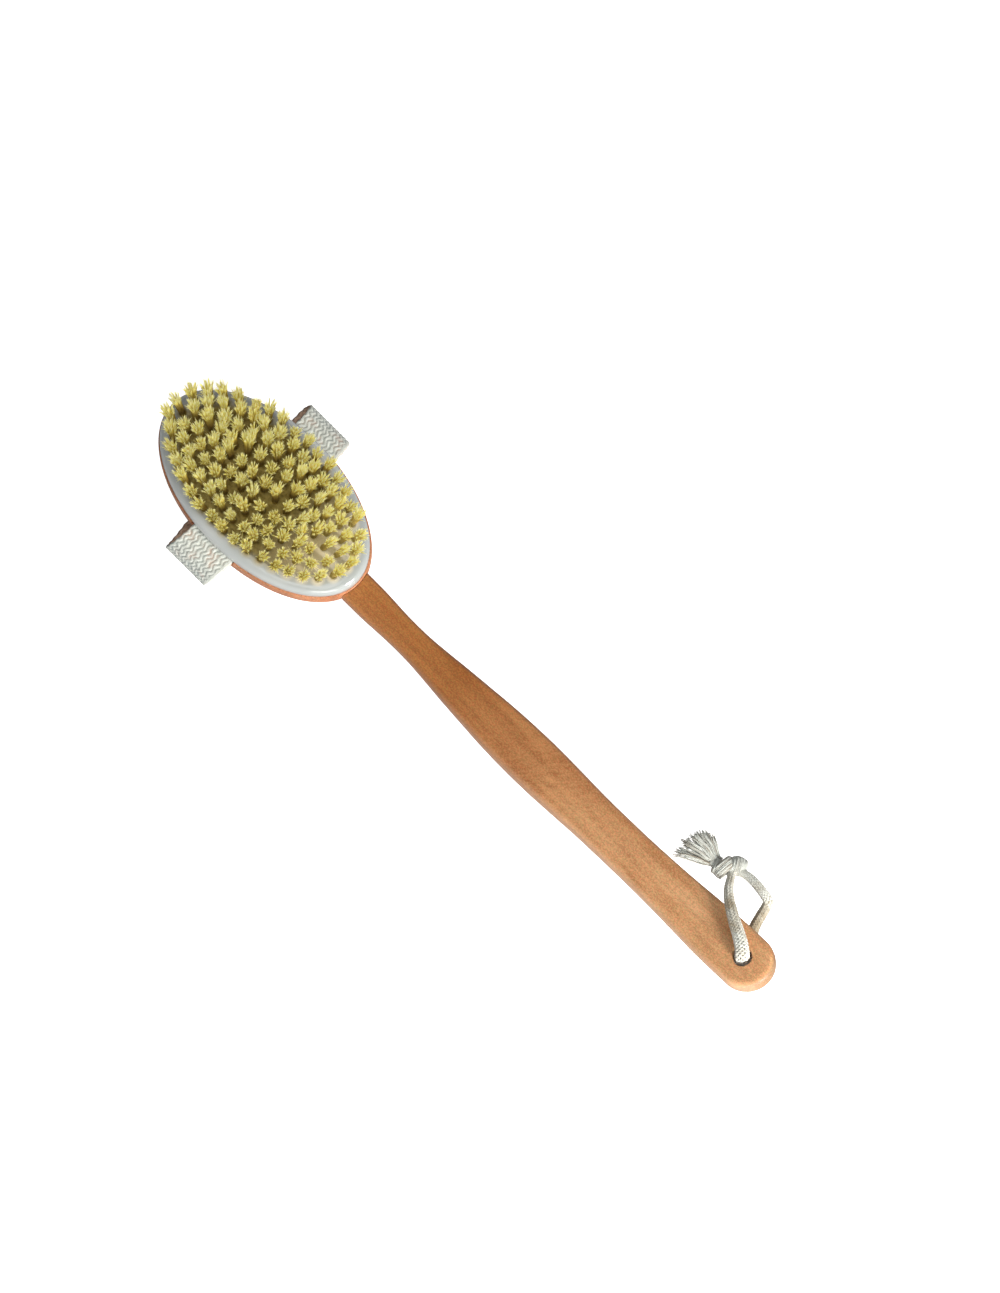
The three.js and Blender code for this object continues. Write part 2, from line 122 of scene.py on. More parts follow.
def grid_faces(rows, cols, flip=False, base=0):
    """Quads over rows x cols points, closed across the columns."""
    i = np.arange(rows - 1)[:, None]
    j = np.arange(cols)[None, :]
    here = i * cols + j
    beside = i * cols + (j + 1) % cols
    quads = np.stack([here, beside, beside + cols, here + cols], -1).reshape(-1, 4) + base
    return quads[:, ::-1] if flip else quads


def catmull(points, per):
    """A centripetal Catmull-Rom curve through points, with per samples to each span."""
    points = np.asarray(points, float)
    points = np.vstack([2 * points[0] - points[1], points, 2 * points[-1] - points[-2]])

    def knot_after(knot, start, stop):
        return knot + max(1e-6, np.linalg.norm(stop - start)) ** 0.5

    out = []
    for p0, p1, p2, p3 in zip(points, points[1:], points[2:], points[3:]):
        t0 = 0.0
        t1 = knot_after(t0, p0, p1)
        t2 = knot_after(t1, p1, p2)
        t3 = knot_after(t2, p2, p3)
        at = np.linspace(t1, t2, per, endpoint=False)[:, None]

        def blend(first, second, start, stop):
            span = stop - start
            return (stop - at) / span * first + (at - start) / span * second

        mid = blend(p1, p2, t1, t2)
        lower = blend(blend(p0, p1, t0, t1), mid, t0, t2)
        upper = blend(mid, blend(p2, p3, t2, t3), t1, t3)
        out.append(blend(lower, upper, t1, t2))
    out.append(points[-2][None, :])
    return np.vstack(out)


def run_length(points):
    """Length along a polyline at each of its points."""
    steps = np.linalg.norm(np.diff(points, axis=0), axis=1)
    return np.concatenate([[0], np.cumsum(steps)])


def resample(points, step):
    """Points spaced evenly along a polyline, and the length along it at each."""
    run = run_length(points)
    count = max(2, int(round(run[-1] / step)) + 1)
    want = np.linspace(0, run[-1], count)
    return np.stack([np.interp(want, run, column) for column in points.T], 1), want


def tangents(points):
    step = np.gradient(points, axis=0)
    return step / np.maximum(1e-9, np.linalg.norm(step, axis=1))[:, None]


def cut(obj, cutters, operation="DIFFERENCE"):
    """Applies exact booleans, then removes the cutters."""
    for cutter in cutters:
        mod = obj.modifiers.new("cut", "BOOLEAN")
        mod.operation, mod.solver, mod.object = operation, "EXACT", cutter
        bpy.context.view_layer.update()
        graph = bpy.context.evaluated_depsgraph_get()
        mesh = bpy.data.meshes.new_from_object(obj.evaluated_get(graph), depsgraph=graph)
        obj.modifiers.remove(mod)
        obj.data = mesh
    for cutter in cutters:
        bpy.data.objects.remove(cutter)


def sharpen(obj, degrees):
    obj.data.polygons.foreach_set("use_smooth", np.ones(len(obj.data.polygons), bool))
    obj.data.set_sharp_from_angle(angle=math.radians(degrees))


def box_obj(name, low, high):
    x0, y0, z0 = low
    x1, y1, z1 = high
    corners = [(x, y, z) for z in (z0, z1) for x, y in ((x0, y0), (x1, y0), (x1, y1), (x0, y1))]
    sides = [(0, 3, 2, 1), (4, 5, 6, 7), (0, 1, 5, 4), (1, 2, 6, 5), (2, 3, 7, 6), (3, 0, 4, 7)]
    return mesh_obj(name, corners, [sides], smooth=False)


def lathe_oval(name, profile, squeeze, segments, material=None):
    """A closed turned solid from (r, z) points that start and end on the axis."""
    profile = np.asarray(profile, float)
    inner = profile[1:-1]
    turn = np.linspace(0, 2 * np.pi, segments, endpoint=False)
    oval = np.stack([np.cos(turn), np.sin(turn) * squeeze], 1)
    rings = [np.column_stack([oval * r, np.full(segments, z)]) for r, z in inner]
    points = np.vstack([[[0, 0, profile[0, 1]]], *rings, [[0, 0, profile[-1, 1]]]])
    j = np.arange(segments)
    after = (j + 1) % segments
    last = 1 + (len(inner) - 1) * segments
    start_cap = np.stack([np.zeros(segments, int), after + 1, j + 1], 1)
    end_cap = np.stack([np.full(segments, len(points) - 1), last + j, last + after], 1)
    quads = grid_faces(len(inner), segments, base=1)
    return mesh_obj(name, points, [quads, start_cap, end_cap], material)


# ------------------------------------------------------------------ node helpers
def srgb(*channels):
    """A linear colour from 8-bit sRGB channels."""
    def linear(c):
        return (c / 255) / 12.92 if c / 255 <= 0.04045 else ((c / 255 + 0.055) / 1.055) ** 2.4
    return (*map(linear, channels), 1.0)


def scaled(colour, by):
    return (*[min(1, c * by) for c in colour[:3]], 1)


class Shader:
    """A short way to write a material's node tree."""

    def __init__(self, name):
        self.material = bpy.data.materials.new(name)
        self.material.use_nodes = True
        self.tree = self.material.node_tree
        self.surface = self.tree.nodes["Principled BSDF"]

    def node(self, kind, **settings):
        node = self.tree.nodes.new(kind)
        for key, value in settings.items():
            setattr(node, key, value)
        return node

    def link(self, source, target):
        self.tree.links.new(source, target)

    def put(self, socket, value):
        if isinstance(value, bpy.types.NodeSocket):
            self.link(value, socket)
        else:
            socket.default_value = value

    def coords(self, scale=(1, 1, 1), rotation=(0, 0, 0)):
        mapping = self.node("ShaderNodeMapping")
        mapping.inputs["Scale"].default_value = scale
        mapping.inputs["Rotation"].default_value = rotation
        place = self.node("ShaderNodeTexCoord").outputs["Object"]
        self.link(place, mapping.inputs["Vector"])
        return mapping.outputs["Vector"]

    def noise(self, at=None, stretch=(1, 1, 1), scale=1.0, detail=2.0, rough=0.5, distortion=0.0):
        """Noise at a vector, or at object coordinates multiplied by stretch."""
        node = self.node("ShaderNodeTexNoise")
        node.inputs["Scale"].default_value = scale
        node.inputs["Detail"].default_value = detail
        node.inputs["Roughness"].default_value = rough
        node.inputs["Distortion"].default_value = distortion
        self.link(self.coords(stretch) if at is None else at, node.inputs["Vector"])
        return node.outputs["Fac"]

    def math(self, operation, first, second=0.0, clamp=False):
        node = self.node("ShaderNodeMath", operation=operation, use_clamp=clamp)
        self.put(node.inputs[0], first)
        self.put(node.inputs[1], second)
        return node.outputs[0]

    def times(self, first, second):
        return self.math("MULTIPLY", first, second)

    def ramp(self, fac, stops):
        node = self.node("ShaderNodeValToRGB")
        elements = node.color_ramp.elements
        while len(elements) < len(stops):
            elements.new(0.5)
        for i, (position, colour) in enumerate(stops):
            elements[i].position = position
            elements[i].color = colour
        self.link(fac, node.inputs["Fac"])
        return node.outputs["Color"]

    def fade(self, fac, over, to=(0.0, 1.0)):
        """Maps the range over onto the range to, held at both ends."""
        node = self.node("ShaderNodeMapRange")
        node.inputs["From Min"].default_value, node.inputs["From Max"].default_value = over
        node.inputs["To Min"].default_value, node.inputs["To Max"].default_value = to
        self.link(fac, node.inputs["Value"])
        return node.outputs["Result"]

    def mix(self, amount, under, over, blend="MIX"):
        node = self.node("ShaderNodeMix", data_type="RGBA", blend_type=blend)
        self.put(node.inputs["Factor"], amount)
        self.put(node.inputs["A"], under)
        self.put(node.inputs["B"], over)
        return node.outputs["Result"]

    def tint(self, amount, colour, by):
        """Fades towards the colour multiplied, channel by channel, by by."""
        return self.mix(amount, colour, self.mix(1.0, colour, (*by, 1), "MULTIPLY"))

    def split(self, vector):
        node = self.node("ShaderNodeSeparateXYZ")
        self.link(vector, node.inputs[0])
        return node.outputs

    def bump(self, height, strength, distance, normal=None):
        node = self.node("ShaderNodeBump")
        node.inputs["Strength"].default_value = strength
        node.inputs["Distance"].default_value = distance
        self.link(height, node.inputs["Height"])
        if normal is not None:
            self.link(normal, node.inputs["Normal"])
        return node.outputs["Normal"]

    def attribute(self, name):
        return self.node("ShaderNodeAttribute", attribute_name=name).outputs["Fac"]

    def set(self, **inputs):
        for key, value in inputs.items():
            self.put(self.surface.inputs[key.replace("_", " ")], value)
        return self.material


# ------------------------------------------------------------------ materials
# Noise frequencies are per metre and places are in metres of the scene.
def beech(name, dark, light, pink, is_handle=False):
    """Steamed beech under satin lacquer: long soft grain, short dark ray flecks, fine pores."""
    mat = Shader(name)
    # Soft annual bands, stretched along the length of the wood.
    cloud = mat.noise(stretch=(9, 9, 9), scale=3)
    grain = mat.noise(stretch=(5, 90, 60), scale=1.7, detail=4, rough=0.55, distortion=0.35)
    streak = mat.noise(stretch=(12, 420, 300), detail=3, rough=0.6)
    bands = mat.math("ADD", mat.times(grain, 0.75), mat.times(cloud, 0.25))
    body = mat.ramp(bands, [(0.32, dark), (0.5, light), (0.68, pink)])
    body = mat.mix(mat.fade(streak, over=(0.42, 0.66), to=(0, 0.34)), body, scaled(dark, 0.62))
    # Ray flecks: short dashes along the grain.
    fleck = mat.noise(stretch=(330, 1500, 1200), detail=1)
    body = mat.mix(mat.fade(fleck, over=(0.60, 0.70), to=(0, 0.22)), body, scaled(dark, 0.50))
    # Pores, lighter and darker than the body.
    fine = mat.noise(stretch=(1020, 1650, 1650), detail=1.5, rough=0.6)
    body = mat.mix(mat.fade(fine, over=(0.47, 0.64), to=(0, 0.31)), body, scaled(pink, 1.35))
    body = mat.mix(mat.fade(fine, over=(0.36, 0.50), to=(0.29, 0)), body, scaled(dark, 0.60))
    # The fine grain wavers between redder and greener browns.
    hue = mat.noise(stretch=(1500, 1700, 1700), detail=1)
    body = mat.tint(mat.fade(hue, over=(0.52, 0.64), to=(0, 0.95)), body, by=(0.86, 1.06, 0.93))
    body = mat.tint(mat.fade(hue, over=(0.36, 0.48), to=(0.95, 0)), body, by=(1.10, 0.91, 0.92))
    if is_handle:
        body = handle_tones(mat, body, pink)
    normal = mat.bump(fleck, strength=0.10, distance=0.00012)
    normal = mat.bump(streak, strength=0.12, distance=0.0001, normal=normal)
    return mat.set(Base_Color=body, Roughness=mat.fade(grain, over=(0.3, 0.7), to=(0.42, 0.54)),
                   Normal=normal, Coat_Weight=0.12, Coat_Roughness=0.3, Specular_IOR_Level=0.4)


def handle_tones(mat, body, pink):
    """Colour changes along and around the handle, with painted shade and a painted highlight set
    by how its faces turn.
    """
    along = mat.split(mat.coords())[0]
    # Faint cross figure about the thickest part of the grip.
    figure_at, figure_reach, figure_strength = 0.215, 0.06, 0.26
    skew = mat.coords(scale=(1 / 560, 1 / 110, 1 / 120), rotation=(0, 0, -0.78))
    skew.node.vector_type = "TEXTURE"
    offset = mat.math("DIVIDE", mat.math("SUBTRACT", along, figure_at), figure_reach)
    near = mat.math("SUBTRACT", 1.0, mat.math("ABSOLUTE", offset), clamp=True)
    ripple = mat.fade(mat.noise(skew), over=(0.42, 0.62), to=(0, figure_strength))
    body = mat.mix(mat.times(ripple, near), body, scaled(pink, 1.25))
    # Darker and redder by the head than at the far end, a colour gradient along x.
    by_head = mat.fade(along, over=(0.145, 0.290), to=(1, 0))
    body = mat.tint(mat.times(by_head, 1.0), body, by=(0.61, 0.43, 0.21))
    # Painted shade: faces turned towards +x, at the end grain, are darkened.
    facing = mat.split(mat.node("ShaderNodeTexCoord").outputs["Normal"])
    painted_end_shade = mat.fade(facing[0], over=(0.12, 0.6), to=(0, 0.9))
    body = mat.tint(painted_end_shade, body, by=(0.46, 0.53, 0.60))
    # Painted shade on the +y edge, and a painted highlight on the -y edge, stronger towards the
    # far end.
    painted_shade_edge = mat.fade(facing[1], over=(0.30, 0.80), to=(0, 0.8))
    body = mat.tint(painted_shade_edge, body, by=(0.62, 0.56, 0.50))
    painted_highlight_edge = mat.times(mat.fade(facing[1], over=(-0.85, -0.15), to=(0.26, 0)),
                          mat.fade(along, over=(0.12, 0.27), to=(0.35, 1)))
    return mat.mix(painted_highlight_edge, body, srgb(226, 198, 172))


def plastic_white():
    mat = Shader("white_plate_gloss")
    place = mat.coords()
    cloud = mat.noise(place, scale=38, detail=3)
    tuft = mat.attribute("tuft_shade")
    colour = mat.ramp(cloud, [(0.3, srgb(190, 195, 194)), (0.7, srgb(201, 205, 203))])
    # Painted shade and painted light reflected from the bristles among the tufts: yellowed and
    # duller there.
    speck = mat.noise(place, scale=420, detail=3, rough=0.6)
    painted_tuft_shade = mat.ramp(speck, [(0.35, srgb(148, 128, 62)), (0.65, srgb(188, 168, 96))])
    # Painted light: towards the handle the tufts stand in light, so the colour among them turns
    # pale beige.
    painted_light_by_handle = mat.fade(mat.split(place)[0], over=(0.026, 0.056))
    painted_tuft_shade = mat.mix(painted_light_by_handle, painted_tuft_shade, srgb(224, 211, 180))
    # Painted shade: the plate is greyed towards the handle end.
    painted_shade_by_handle = mat.fade(mat.split(place)[0], over=(0, 0.06), to=(0, 0.9))
    colour = mat.tint(painted_shade_by_handle, colour, by=(0.69, 0.70, 0.70))
    micro = mat.noise(place, scale=900, rough=0.6)
    gloss = mat.fade(cloud, over=(0.3, 0.7), to=(0.16, 0.24))
    unshaded = mat.fade(tuft, over=(0, 0.8), to=(1, 0))
    return mat.set(
        Base_Color=mat.mix(tuft, colour, painted_tuft_shade),
        Roughness=mat.math("ADD", gloss, mat.times(tuft, 0.5)),
        Normal=mat.bump(micro, strength=0.05, distance=0.00006),
        Coat_Weight=mat.times(unshaded, 0.35), Coat_Roughness=0.06,
        # Painted light: the colour among the tufts glows faintly towards the handle.
        Emission_Color=srgb(214, 196, 140),
        Emission_Strength=mat.times(mat.times(tuft, painted_light_by_handle), 0.23),
        Specular_IOR_Level=mat.fade(tuft, over=(0, 0.8), to=(0.5, 0.05)))


def bristle():
    """Pale natural bristle: straw yellow at the tips, mustard lower down; the darker colour down
    in the tuft is partly its own and partly painted shade.
    """
    mat = Shader("natural_bristle")
    height = mat.attribute("height")
    tone = mat.attribute("tone")
    # Up the bristle: partly painted shade low down, pale straw at the tips.
    colour = mat.ramp(height, [
        (0.0, srgb(172, 138, 56)), (0.40, srgb(176, 142, 52)), (0.64, srgb(206, 178, 70)),
        (0.80, srgb(247, 229, 104)), (0.90, srgb(254, 245, 140)), (1.0, srgb(254, 251, 196))])
    # Single bristles run darker or paler over their upper half.
    for over, to, shade in (((0, 0.45), (0.40, 0), srgb(224, 182, 70)),
                            ((0.6, 1.0), (0, 0.5), srgb(251, 247, 196))):
        amount = mat.times(mat.fade(tone, over, to), mat.fade(height, over=(0.5, 0.8)))
        colour = mat.mix(amount, colour, shade)
    # Painted light: the roots are paler towards the handle, where light reaches into the tufts.
    along = mat.split(mat.coords())[0]
    root = mat.times(mat.fade(along, over=(0.020, 0.056), to=(0, 0.75)),
                     mat.fade(height, over=(0.35, 0.80), to=(1, 0)))
    colour = mat.mix(root, colour, srgb(216, 192, 112))
    mottle = mat.fade(mat.noise(scale=700, rough=0.6), over=(0.35, 0.65), to=(0, 0.2))
    colour = mat.mix(mottle, colour, srgb(222, 196, 96))
    # Light soaks through the fibres, so normals lean up and a tuft is lit as one soft mass.
    upward = mat.node("ShaderNodeVectorMath", operation="ADD")
    upward.inputs[1].default_value = (0.0, 0.0, 2.2)
    mat.link(mat.node("ShaderNodeNewGeometry").outputs["Normal"], upward.inputs[0])
    unit = mat.node("ShaderNodeVectorMath", operation="NORMALIZE")
    mat.link(upward.outputs[0], unit.inputs[0])
    # Painted light: the bristles glow, most at their tips and towards the handle.
    glow = mat.math("MAXIMUM", mat.fade(height, over=(0.45, 0.85), to=(0.15, 1)),
                    mat.fade(along, over=(0.024, 0.056), to=(0, 0.62)))
    glow_strength = mat.fade(along, over=(0, 0.06), to=(0.205, 0.34))
    return mat.set(Base_Color=colour, Roughness=0.5, Specular_IOR_Level=0.3,
                   Normal=unit.outputs[0], Emission_Color=colour,
                   Emission_Strength=mat.times(glow_strength, glow))


def webbing():
    mat = Shader("cotton_webbing")
    rib = mat.attribute("rib")
    place = mat.coords()
    yarn = mat.noise(stretch=(1100, 1100, 1100), detail=3, rough=0.65)
    blot = mat.noise(place, scale=130)
    pinkish = mat.noise(place, scale=160)
    # Painted shade in the grooves: a warm tan by the plate, a cooler grey further down the loop.
    tan_patch = mat.fade(pinkish, over=(0.48, 0.70))
    groove_shade = mat.mix(tan_patch, srgb(162, 166, 158), srgb(178, 152, 132))
    groove_shade = mat.mix(mat.times(mat.attribute("far"), 0.85), groove_shade, srgb(140, 150, 152))
    # Pale ribs, with their crests paler still.
    colour = mat.mix(mat.fade(rib, over=(0.18, 0.72)), groove_shade, srgb(238, 241, 231))
    for mask, over, strength, shade in ((rib, (0.75, 1.0), 0.5, srgb(246, 248, 242)),
                                        (yarn, (0.35, 0.75), 0.30, srgb(184, 188, 178)),
                                        (pinkish, (0.54, 0.74), 0.22, srgb(226, 206, 192)),
                                        (blot, (0.50, 0.72), 0.25, srgb(202, 216, 208))):
        colour = mat.mix(mat.fade(mask, over, to=(0, strength)), colour, shade)
    # Painted shade: the face inside the loop, in the shade of the head, is coloured dark brown.
    loop_inside_shade = mat.mix(mat.fade(yarn, over=(0.35, 0.7)), srgb(120, 92, 72), srgb(158, 128, 102))
    colour = mat.mix(mat.times(mat.attribute("inner"), 0.9), colour, loop_inside_shade)
    return mat.set(Base_Color=colour, Roughness=0.92, Specular_IOR_Level=0.15,
                   Sheen_Weight=0.2, Sheen_Roughness=0.5,
                   Normal=mat.bump(yarn, strength=0.5, distance=0.0003))


def cotton(name, light, shade, silk=0.0):
    """Cotton yarn; silk makes it smoother and shinier."""
    mat = Shader(name)
    place = mat.coords()
    yarn = mat.noise(place, scale=1500, detail=3, rough=0.65)
    blot = mat.noise(place, scale=160)
    tone = mat.attribute("tone")
    body = mat.math("ADD", mat.times(blot, 0.5), mat.times(tone, 0.5))
    colour = mat.ramp(body, [(0.25, shade), (0.62, light)])
    colour = mat.mix(mat.fade(yarn, over=(0.4, 0.7), to=(0, 0.34)), colour, shade)
    # A tone below nothing marks painted shade, warmed by light off the wood, where the cord lies
    # under and beside the handle.
    painted_under_shade = mat.fade(tone, over=(-0.7, -0.05), to=(1, 0))
    colour = mat.tint(painted_under_shade, colour, by=(0.72, 0.62, 0.50))
    return mat.set(Base_Color=colour, Roughness=0.85 - 0.35 * silk,
                   Specular_IOR_Level=0.2 + 0.25 * silk, Sheen_Weight=0.3,
                   Normal=mat.bump(yarn, strength=0.35, distance=0.0002))


def steel():
    mat = Shader("staple_wire")
    scratch = mat.noise(stretch=(200, 1800, 1800), detail=3, rough=0.6)
    colour = mat.ramp(scratch, [(0.3, srgb(160, 164, 168)), (0.7, srgb(196, 199, 202))])
    return mat.set(Base_Color=colour, Metallic=1.0,
                   Roughness=mat.fade(scratch, over=(0.3, 0.7), to=(0.28, 0.42)))


M_HEAD = beech("beech_head", dark=srgb(150, 90, 52), light=srgb(180, 114, 74),
               pink=srgb(198, 136, 98))
M_HANDLE = beech("beech_handle", dark=srgb(189, 126, 79), light=srgb(213, 156, 108),
                 pink=srgb(228, 176, 128), is_handle=True)
M_PLATE = plastic_white()
M_BRISTLE = bristle()
M_WEB = webbing()
M_CORD = cotton("cotton_cord", light=srgb(223, 225, 217), shade=srgb(153, 142, 121))
M_YARN = cotton("cotton_yarn", light=srgb(189, 193, 186), shade=srgb(122, 111, 95), silk=0.9)
M_STEEL = steel()

# ------------------------------------------------------------------ wooden back
# Radius along x and height, from the middle of the underside round to the glue line.
BACK_ROUND = [
    (0, -BACK_THICK), (34, -BACK_THICK), (55, -BACK_THICK + 0.02), (60.4, -12.5), (63.7, -11.2),
    (65.5, -9.0), (66.1, -6.4), (66.2, -4.0), (66.1, -1.8), (65.95, -0.6)]
BACK_TOP = [(65.55, -0.12), (65.0, 0.0), (40, 0.0), (0, 0.0)]
MORTISE_GAP = 0.3
SEAT_Y, SEAT_Z = 20.5, -2.6  # inner end and floor of the two strap seats
SEAT_GAP, SEAT_WIDE_GAP = 0.5, 1.8  # play beside the strap; wide where the strap runs askew

back_profile = np.vstack([catmull(BACK_ROUND, 9), BACK_TOP])
back = lathe_oval("wood_back", back_profile, HEAD_B / HEAD_A, 288, M_HEAD)
mortise_y = TONGUE_WIDTH / 2 + MORTISE_GAP
mortise_z = TONGUE_THICK / 2 + MORTISE_GAP
mortise = box_obj("c1", (HEAD_A - TONGUE_LENGTH - 0.6, -mortise_y, TONGUE_Z - mortise_z),
                  (HEAD_A + 6, mortise_y, TONGUE_Z + mortise_z))
strap_low, strap_high = STRAP_X - STRAP_WIDTH / 2, STRAP_X + STRAP_WIDTH / 2
seat_plus_y = box_obj("c2", (strap_low - SEAT_WIDE_GAP, SEAT_Y, SEAT_Z),
                      (strap_high + SEAT_GAP, HEAD_B + 3, 2))
seat_minus_y = box_obj("c3", (strap_low - SEAT_GAP, -HEAD_B - 3, SEAT_Z),
                       (strap_high + SEAT_WIDE_GAP, -SEAT_Y, 2))
cut(back, [mortise, seat_plus_y, seat_minus_y])
sharpen(back, 32)
register(back, "head", "back_plate")


# ------------------------------------------------------------------ tuft layout
def oval_row(half_length, half_width, count, phase):
    """Places spaced evenly round an oval."""
    turn = np.linspace(0, 2 * np.pi, 2001) + phase
    oval = np.stack([half_length * np.cos(turn), half_width * np.sin(turn)], 1)
    run = run_length(oval)
    want = np.arange(count) / count * run[-1]
    return np.stack([np.interp(want, run, oval[:, 0]), np.interp(want, run, oval[:, 1])], 1)


OUTER_A, OUTER_B = 57, 28.6  # half axes of the outer row
# Node name, tuft places, and how many tufts go in each of its objects.
ROWS = [
    ("tuft_row_outer", oval_row(OUTER_A, OUTER_B, 36, 0.05), [9, 9, 9, 9]),
    ("tuft_row_second", oval_row(49.6, 21.8, 31, 0.12), [8, 8, 8, 7]),
    ("tuft_row_third", oval_row(42, 15, 25, 0.03), [9, 8, 8]),
    ("tuft_row_fourth", oval_row(34.6, 8.2, 19, 0.16), [10, 9]),
    ("tuft_row_middle", np.array([(-23.4 + 7.8 * i, 0.0) for i in range(7)]), [7]),
]

# ------------------------------------------------------------------ bristle plate
PLATE_A, PLATE_B = HEAD_A - PLATE_INSET, HEAD_B - PLATE_INSET
PLATE_BASE = 0.1
FLAT_A = PLATE_A - 10  # where the flat top begins

plate_edge = catmull([
    (PLATE_A, PLATE_BASE), (PLATE_A, 2.2), (PLATE_A - 0.55, 3.75), (PLATE_A - 1.9, 5.1),
    (PLATE_A - 4.3, 5.95), (PLATE_A - 7.4, PLATE_TOP - 0.02), (FLAT_A, PLATE_TOP)], 8)[:-1]
plate_flat = np.stack([np.linspace(FLAT_A, 1.0, 100), np.full(100, PLATE_TOP)], 1)
plate_profile = np.vstack([[(0, PLATE_BASE), (30, PLATE_BASE)], plate_edge, plate_flat,
                           [(0, PLATE_TOP)]])
plate = lathe_oval("bristle_plate", plate_profile, PLATE_B / PLATE_A, 384, M_PLATE)
places = read_points(plate)
on_top = places[:, 2] > 5.0
from_tuft = np.full(len(places), 99.0)
for x, y in np.vstack([row[1] for row in ROWS]):
    from_tuft = np.minimum(from_tuft, np.hypot(places[:, 0] - x, places[:, 1] - y))
# Each tuft sits in a drilled hole with a slightly raised lip.
top_gap = from_tuft[on_top]
hole_dip = -0.45 / (1 + np.exp((top_gap - 1.75) / 0.16))
places[on_top, 2] += hole_dip + 0.08 * np.exp(-(((top_gap - 2.5) / 0.4) ** 2))
write_points(plate, places)
# Painted shade close to each tuft, and over the whole tufted oval, less so towards the handle.
near_tuft = np.clip(1 - (from_tuft - 1.6) / 3.0, 0, 1) * on_top * 0.9
oval_sq = (places[:, 0] / 60.5) ** 2 + (places[:, 1] / 31.8) ** 2
towards_handle = np.clip(1.0 - (places[:, 0] - 36) / 34, 0.35, 0.97)
among_tufts = np.clip((1.0 - oval_sq) * 4, 0, 1) * towards_handle * on_top
set_attribute(plate, "tuft_shade", np.maximum(near_tuft, among_tufts))
sharpen(plate, 40)
register(plate, "head", "bristle_pad")

# ------------------------------------------------------------------ tufts
rng = np.random.default_rng(11)
PER_TUFT = 175
ROOT_R = 1.55
ROOT_Z = PLATE_TOP - 0.9
GOLDEN_ANGLE = 2.39996
# Levels up one bristle as a fraction of its length, and its radius at each; it ends in a point.
LEVELS = np.array([0.0, 0.40, 0.64, 0.80, 0.90, 0.96])
RADII = np.array([0.15, 0.155, 0.155, 0.14, 0.12, 0.07])
SIDES = 3
PER_BRISTLE = len(LEVELS) * SIDES + 1


def bristle_faces():
    """Quads and triangles of a single bristle."""
    quads, tris = [], []
    for level in range(len(LEVELS)):
        for side in range(SIDES):
            here, beside = level * SIDES + side, level * SIDES + (side + 1) % SIDES
            if level < len(LEVELS) - 1:
                quads.append((here, beside, beside + SIDES, here + SIDES))
            else:
                tris.append((here, beside, PER_BRISTLE - 1))
    return np.array(quads), np.array(tris + [(2, 1, 0)])


BRISTLE_QUADS, BRISTLE_TRIS = bristle_faces()


def locks(spread, squash):
    """Offsets and relative lengths of a tuft's locks: some by the middle, more at the rim."""
    inner, outer = rng.integers(5, 8), rng.integers(14, 20)
    even = [np.arange(inner) * 6.2832 / inner, np.arange(outer) * 6.2832 / outer]
    jitter = [rng.normal(0, 0.3, inner), rng.normal(0, 0.2, outer)]
    angle = np.concatenate(even) + np.concatenate(jitter) + rng.uniform(0, 6.28)
    inner_reach = rng.uniform(0.15, 0.5, inner)
    # About a third of the rim locks stand out further.
    outer_reach = rng.uniform(0.60, 1.08, outer) + (rng.random(outer) < 0.32) * 0.30
    reach = np.concatenate([inner_reach, outer_reach]) * spread
    offset = np.stack([reach * np.cos(angle) * squash, reach * np.sin(angle) / squash], 1)
    tall = np.concatenate([rng.normal(1.0, 0.03, inner), rng.normal(0.99, 0.035, outer)])
    return offset, tall


def bristle_paths(x, y):
    """Centre lines of one tuft's bristles, which draw together into pointed locks."""
    n = PER_TUFT
    # Tufts splay outwards, most at the head's tip.
    lean = np.array([0.055 + (0.33 if x < 0 else 0.19) * x / OUTER_A, 0.075 + 0.16 * y / OUTER_B])
    lean = lean + rng.normal(0, 0.065, 2)
    row_sq = (x / OUTER_A) ** 2 + (y / OUTER_B) ** 2
    tall_z = 24.6 - 2.1 * row_sq + rng.normal(0, 0.4) - ROOT_Z
    out = np.sqrt((np.arange(n) + 0.5) / n)
    angle = np.arange(n) * GOLDEN_ANGLE + rng.uniform(0, 6.28)
    spread = rng.uniform(3.35, 4.25) + 0.25 * max(0.0, -x / OUTER_A)
    squash = 1 + rng.normal(0, 0.10)
    root_r = ROOT_R * out
    root = np.stack([root_r * np.cos(angle), root_r * np.sin(angle)], 1)
    end_r = spread * 0.86 * out ** 0.9 * rng.normal(1, 0.08, n)
    end_angle = angle + rng.normal(0, 0.10, n)
    end = np.stack([end_r * np.cos(end_angle) * squash, end_r * np.sin(end_angle) / squash], 1)
    lock_at, tall = locks(spread, squash)
    near = np.argmin(((end[:, None, :] - lock_at[None] * 0.86) ** 2).sum(-1), 1)
    # Most bristles join their lock; some stay loose and a few stray widely.
    pull = np.clip(rng.normal(0.90, 0.11, n), 0.05, 0.99)
    pull[rng.random(n) < 0.25] *= 0.3
    length = tall[near] * np.clip(rng.normal(0.985, 0.035, n), 0.86, 1.05)
    curl = rng.normal(0, 0.36, (n, 2))
    curl[rng.random(n) < 0.09] *= 4.6
    levels = []
    for s in [*LEVELS, 1.0]:
        flare = 0.30 * s + 0.32 * s ** 2.6 + 0.38 * s ** 7
        offset = root * (1 - flare) + end * flare
        lock = lock_at[near] * (ROOT_R / spread * (1 - flare) + flare)
        drawn = (pull * np.clip((s - 0.45) / 0.55, 0, 1) ** 1.3)[:, None]
        offset = offset * (1 - drawn) + lock * drawn + curl * (s ** 2.4 - 0.35 * s)
        z = tall_z * s * length - 0.035 * (offset ** 2).sum(1) * s
        place = np.array([x, y]) + offset + lean * (z + ROOT_Z - PLATE_TOP)[:, None]
        levels.append(np.column_stack([place, ROOT_Z + z]))
    return np.stack(levels, 1)


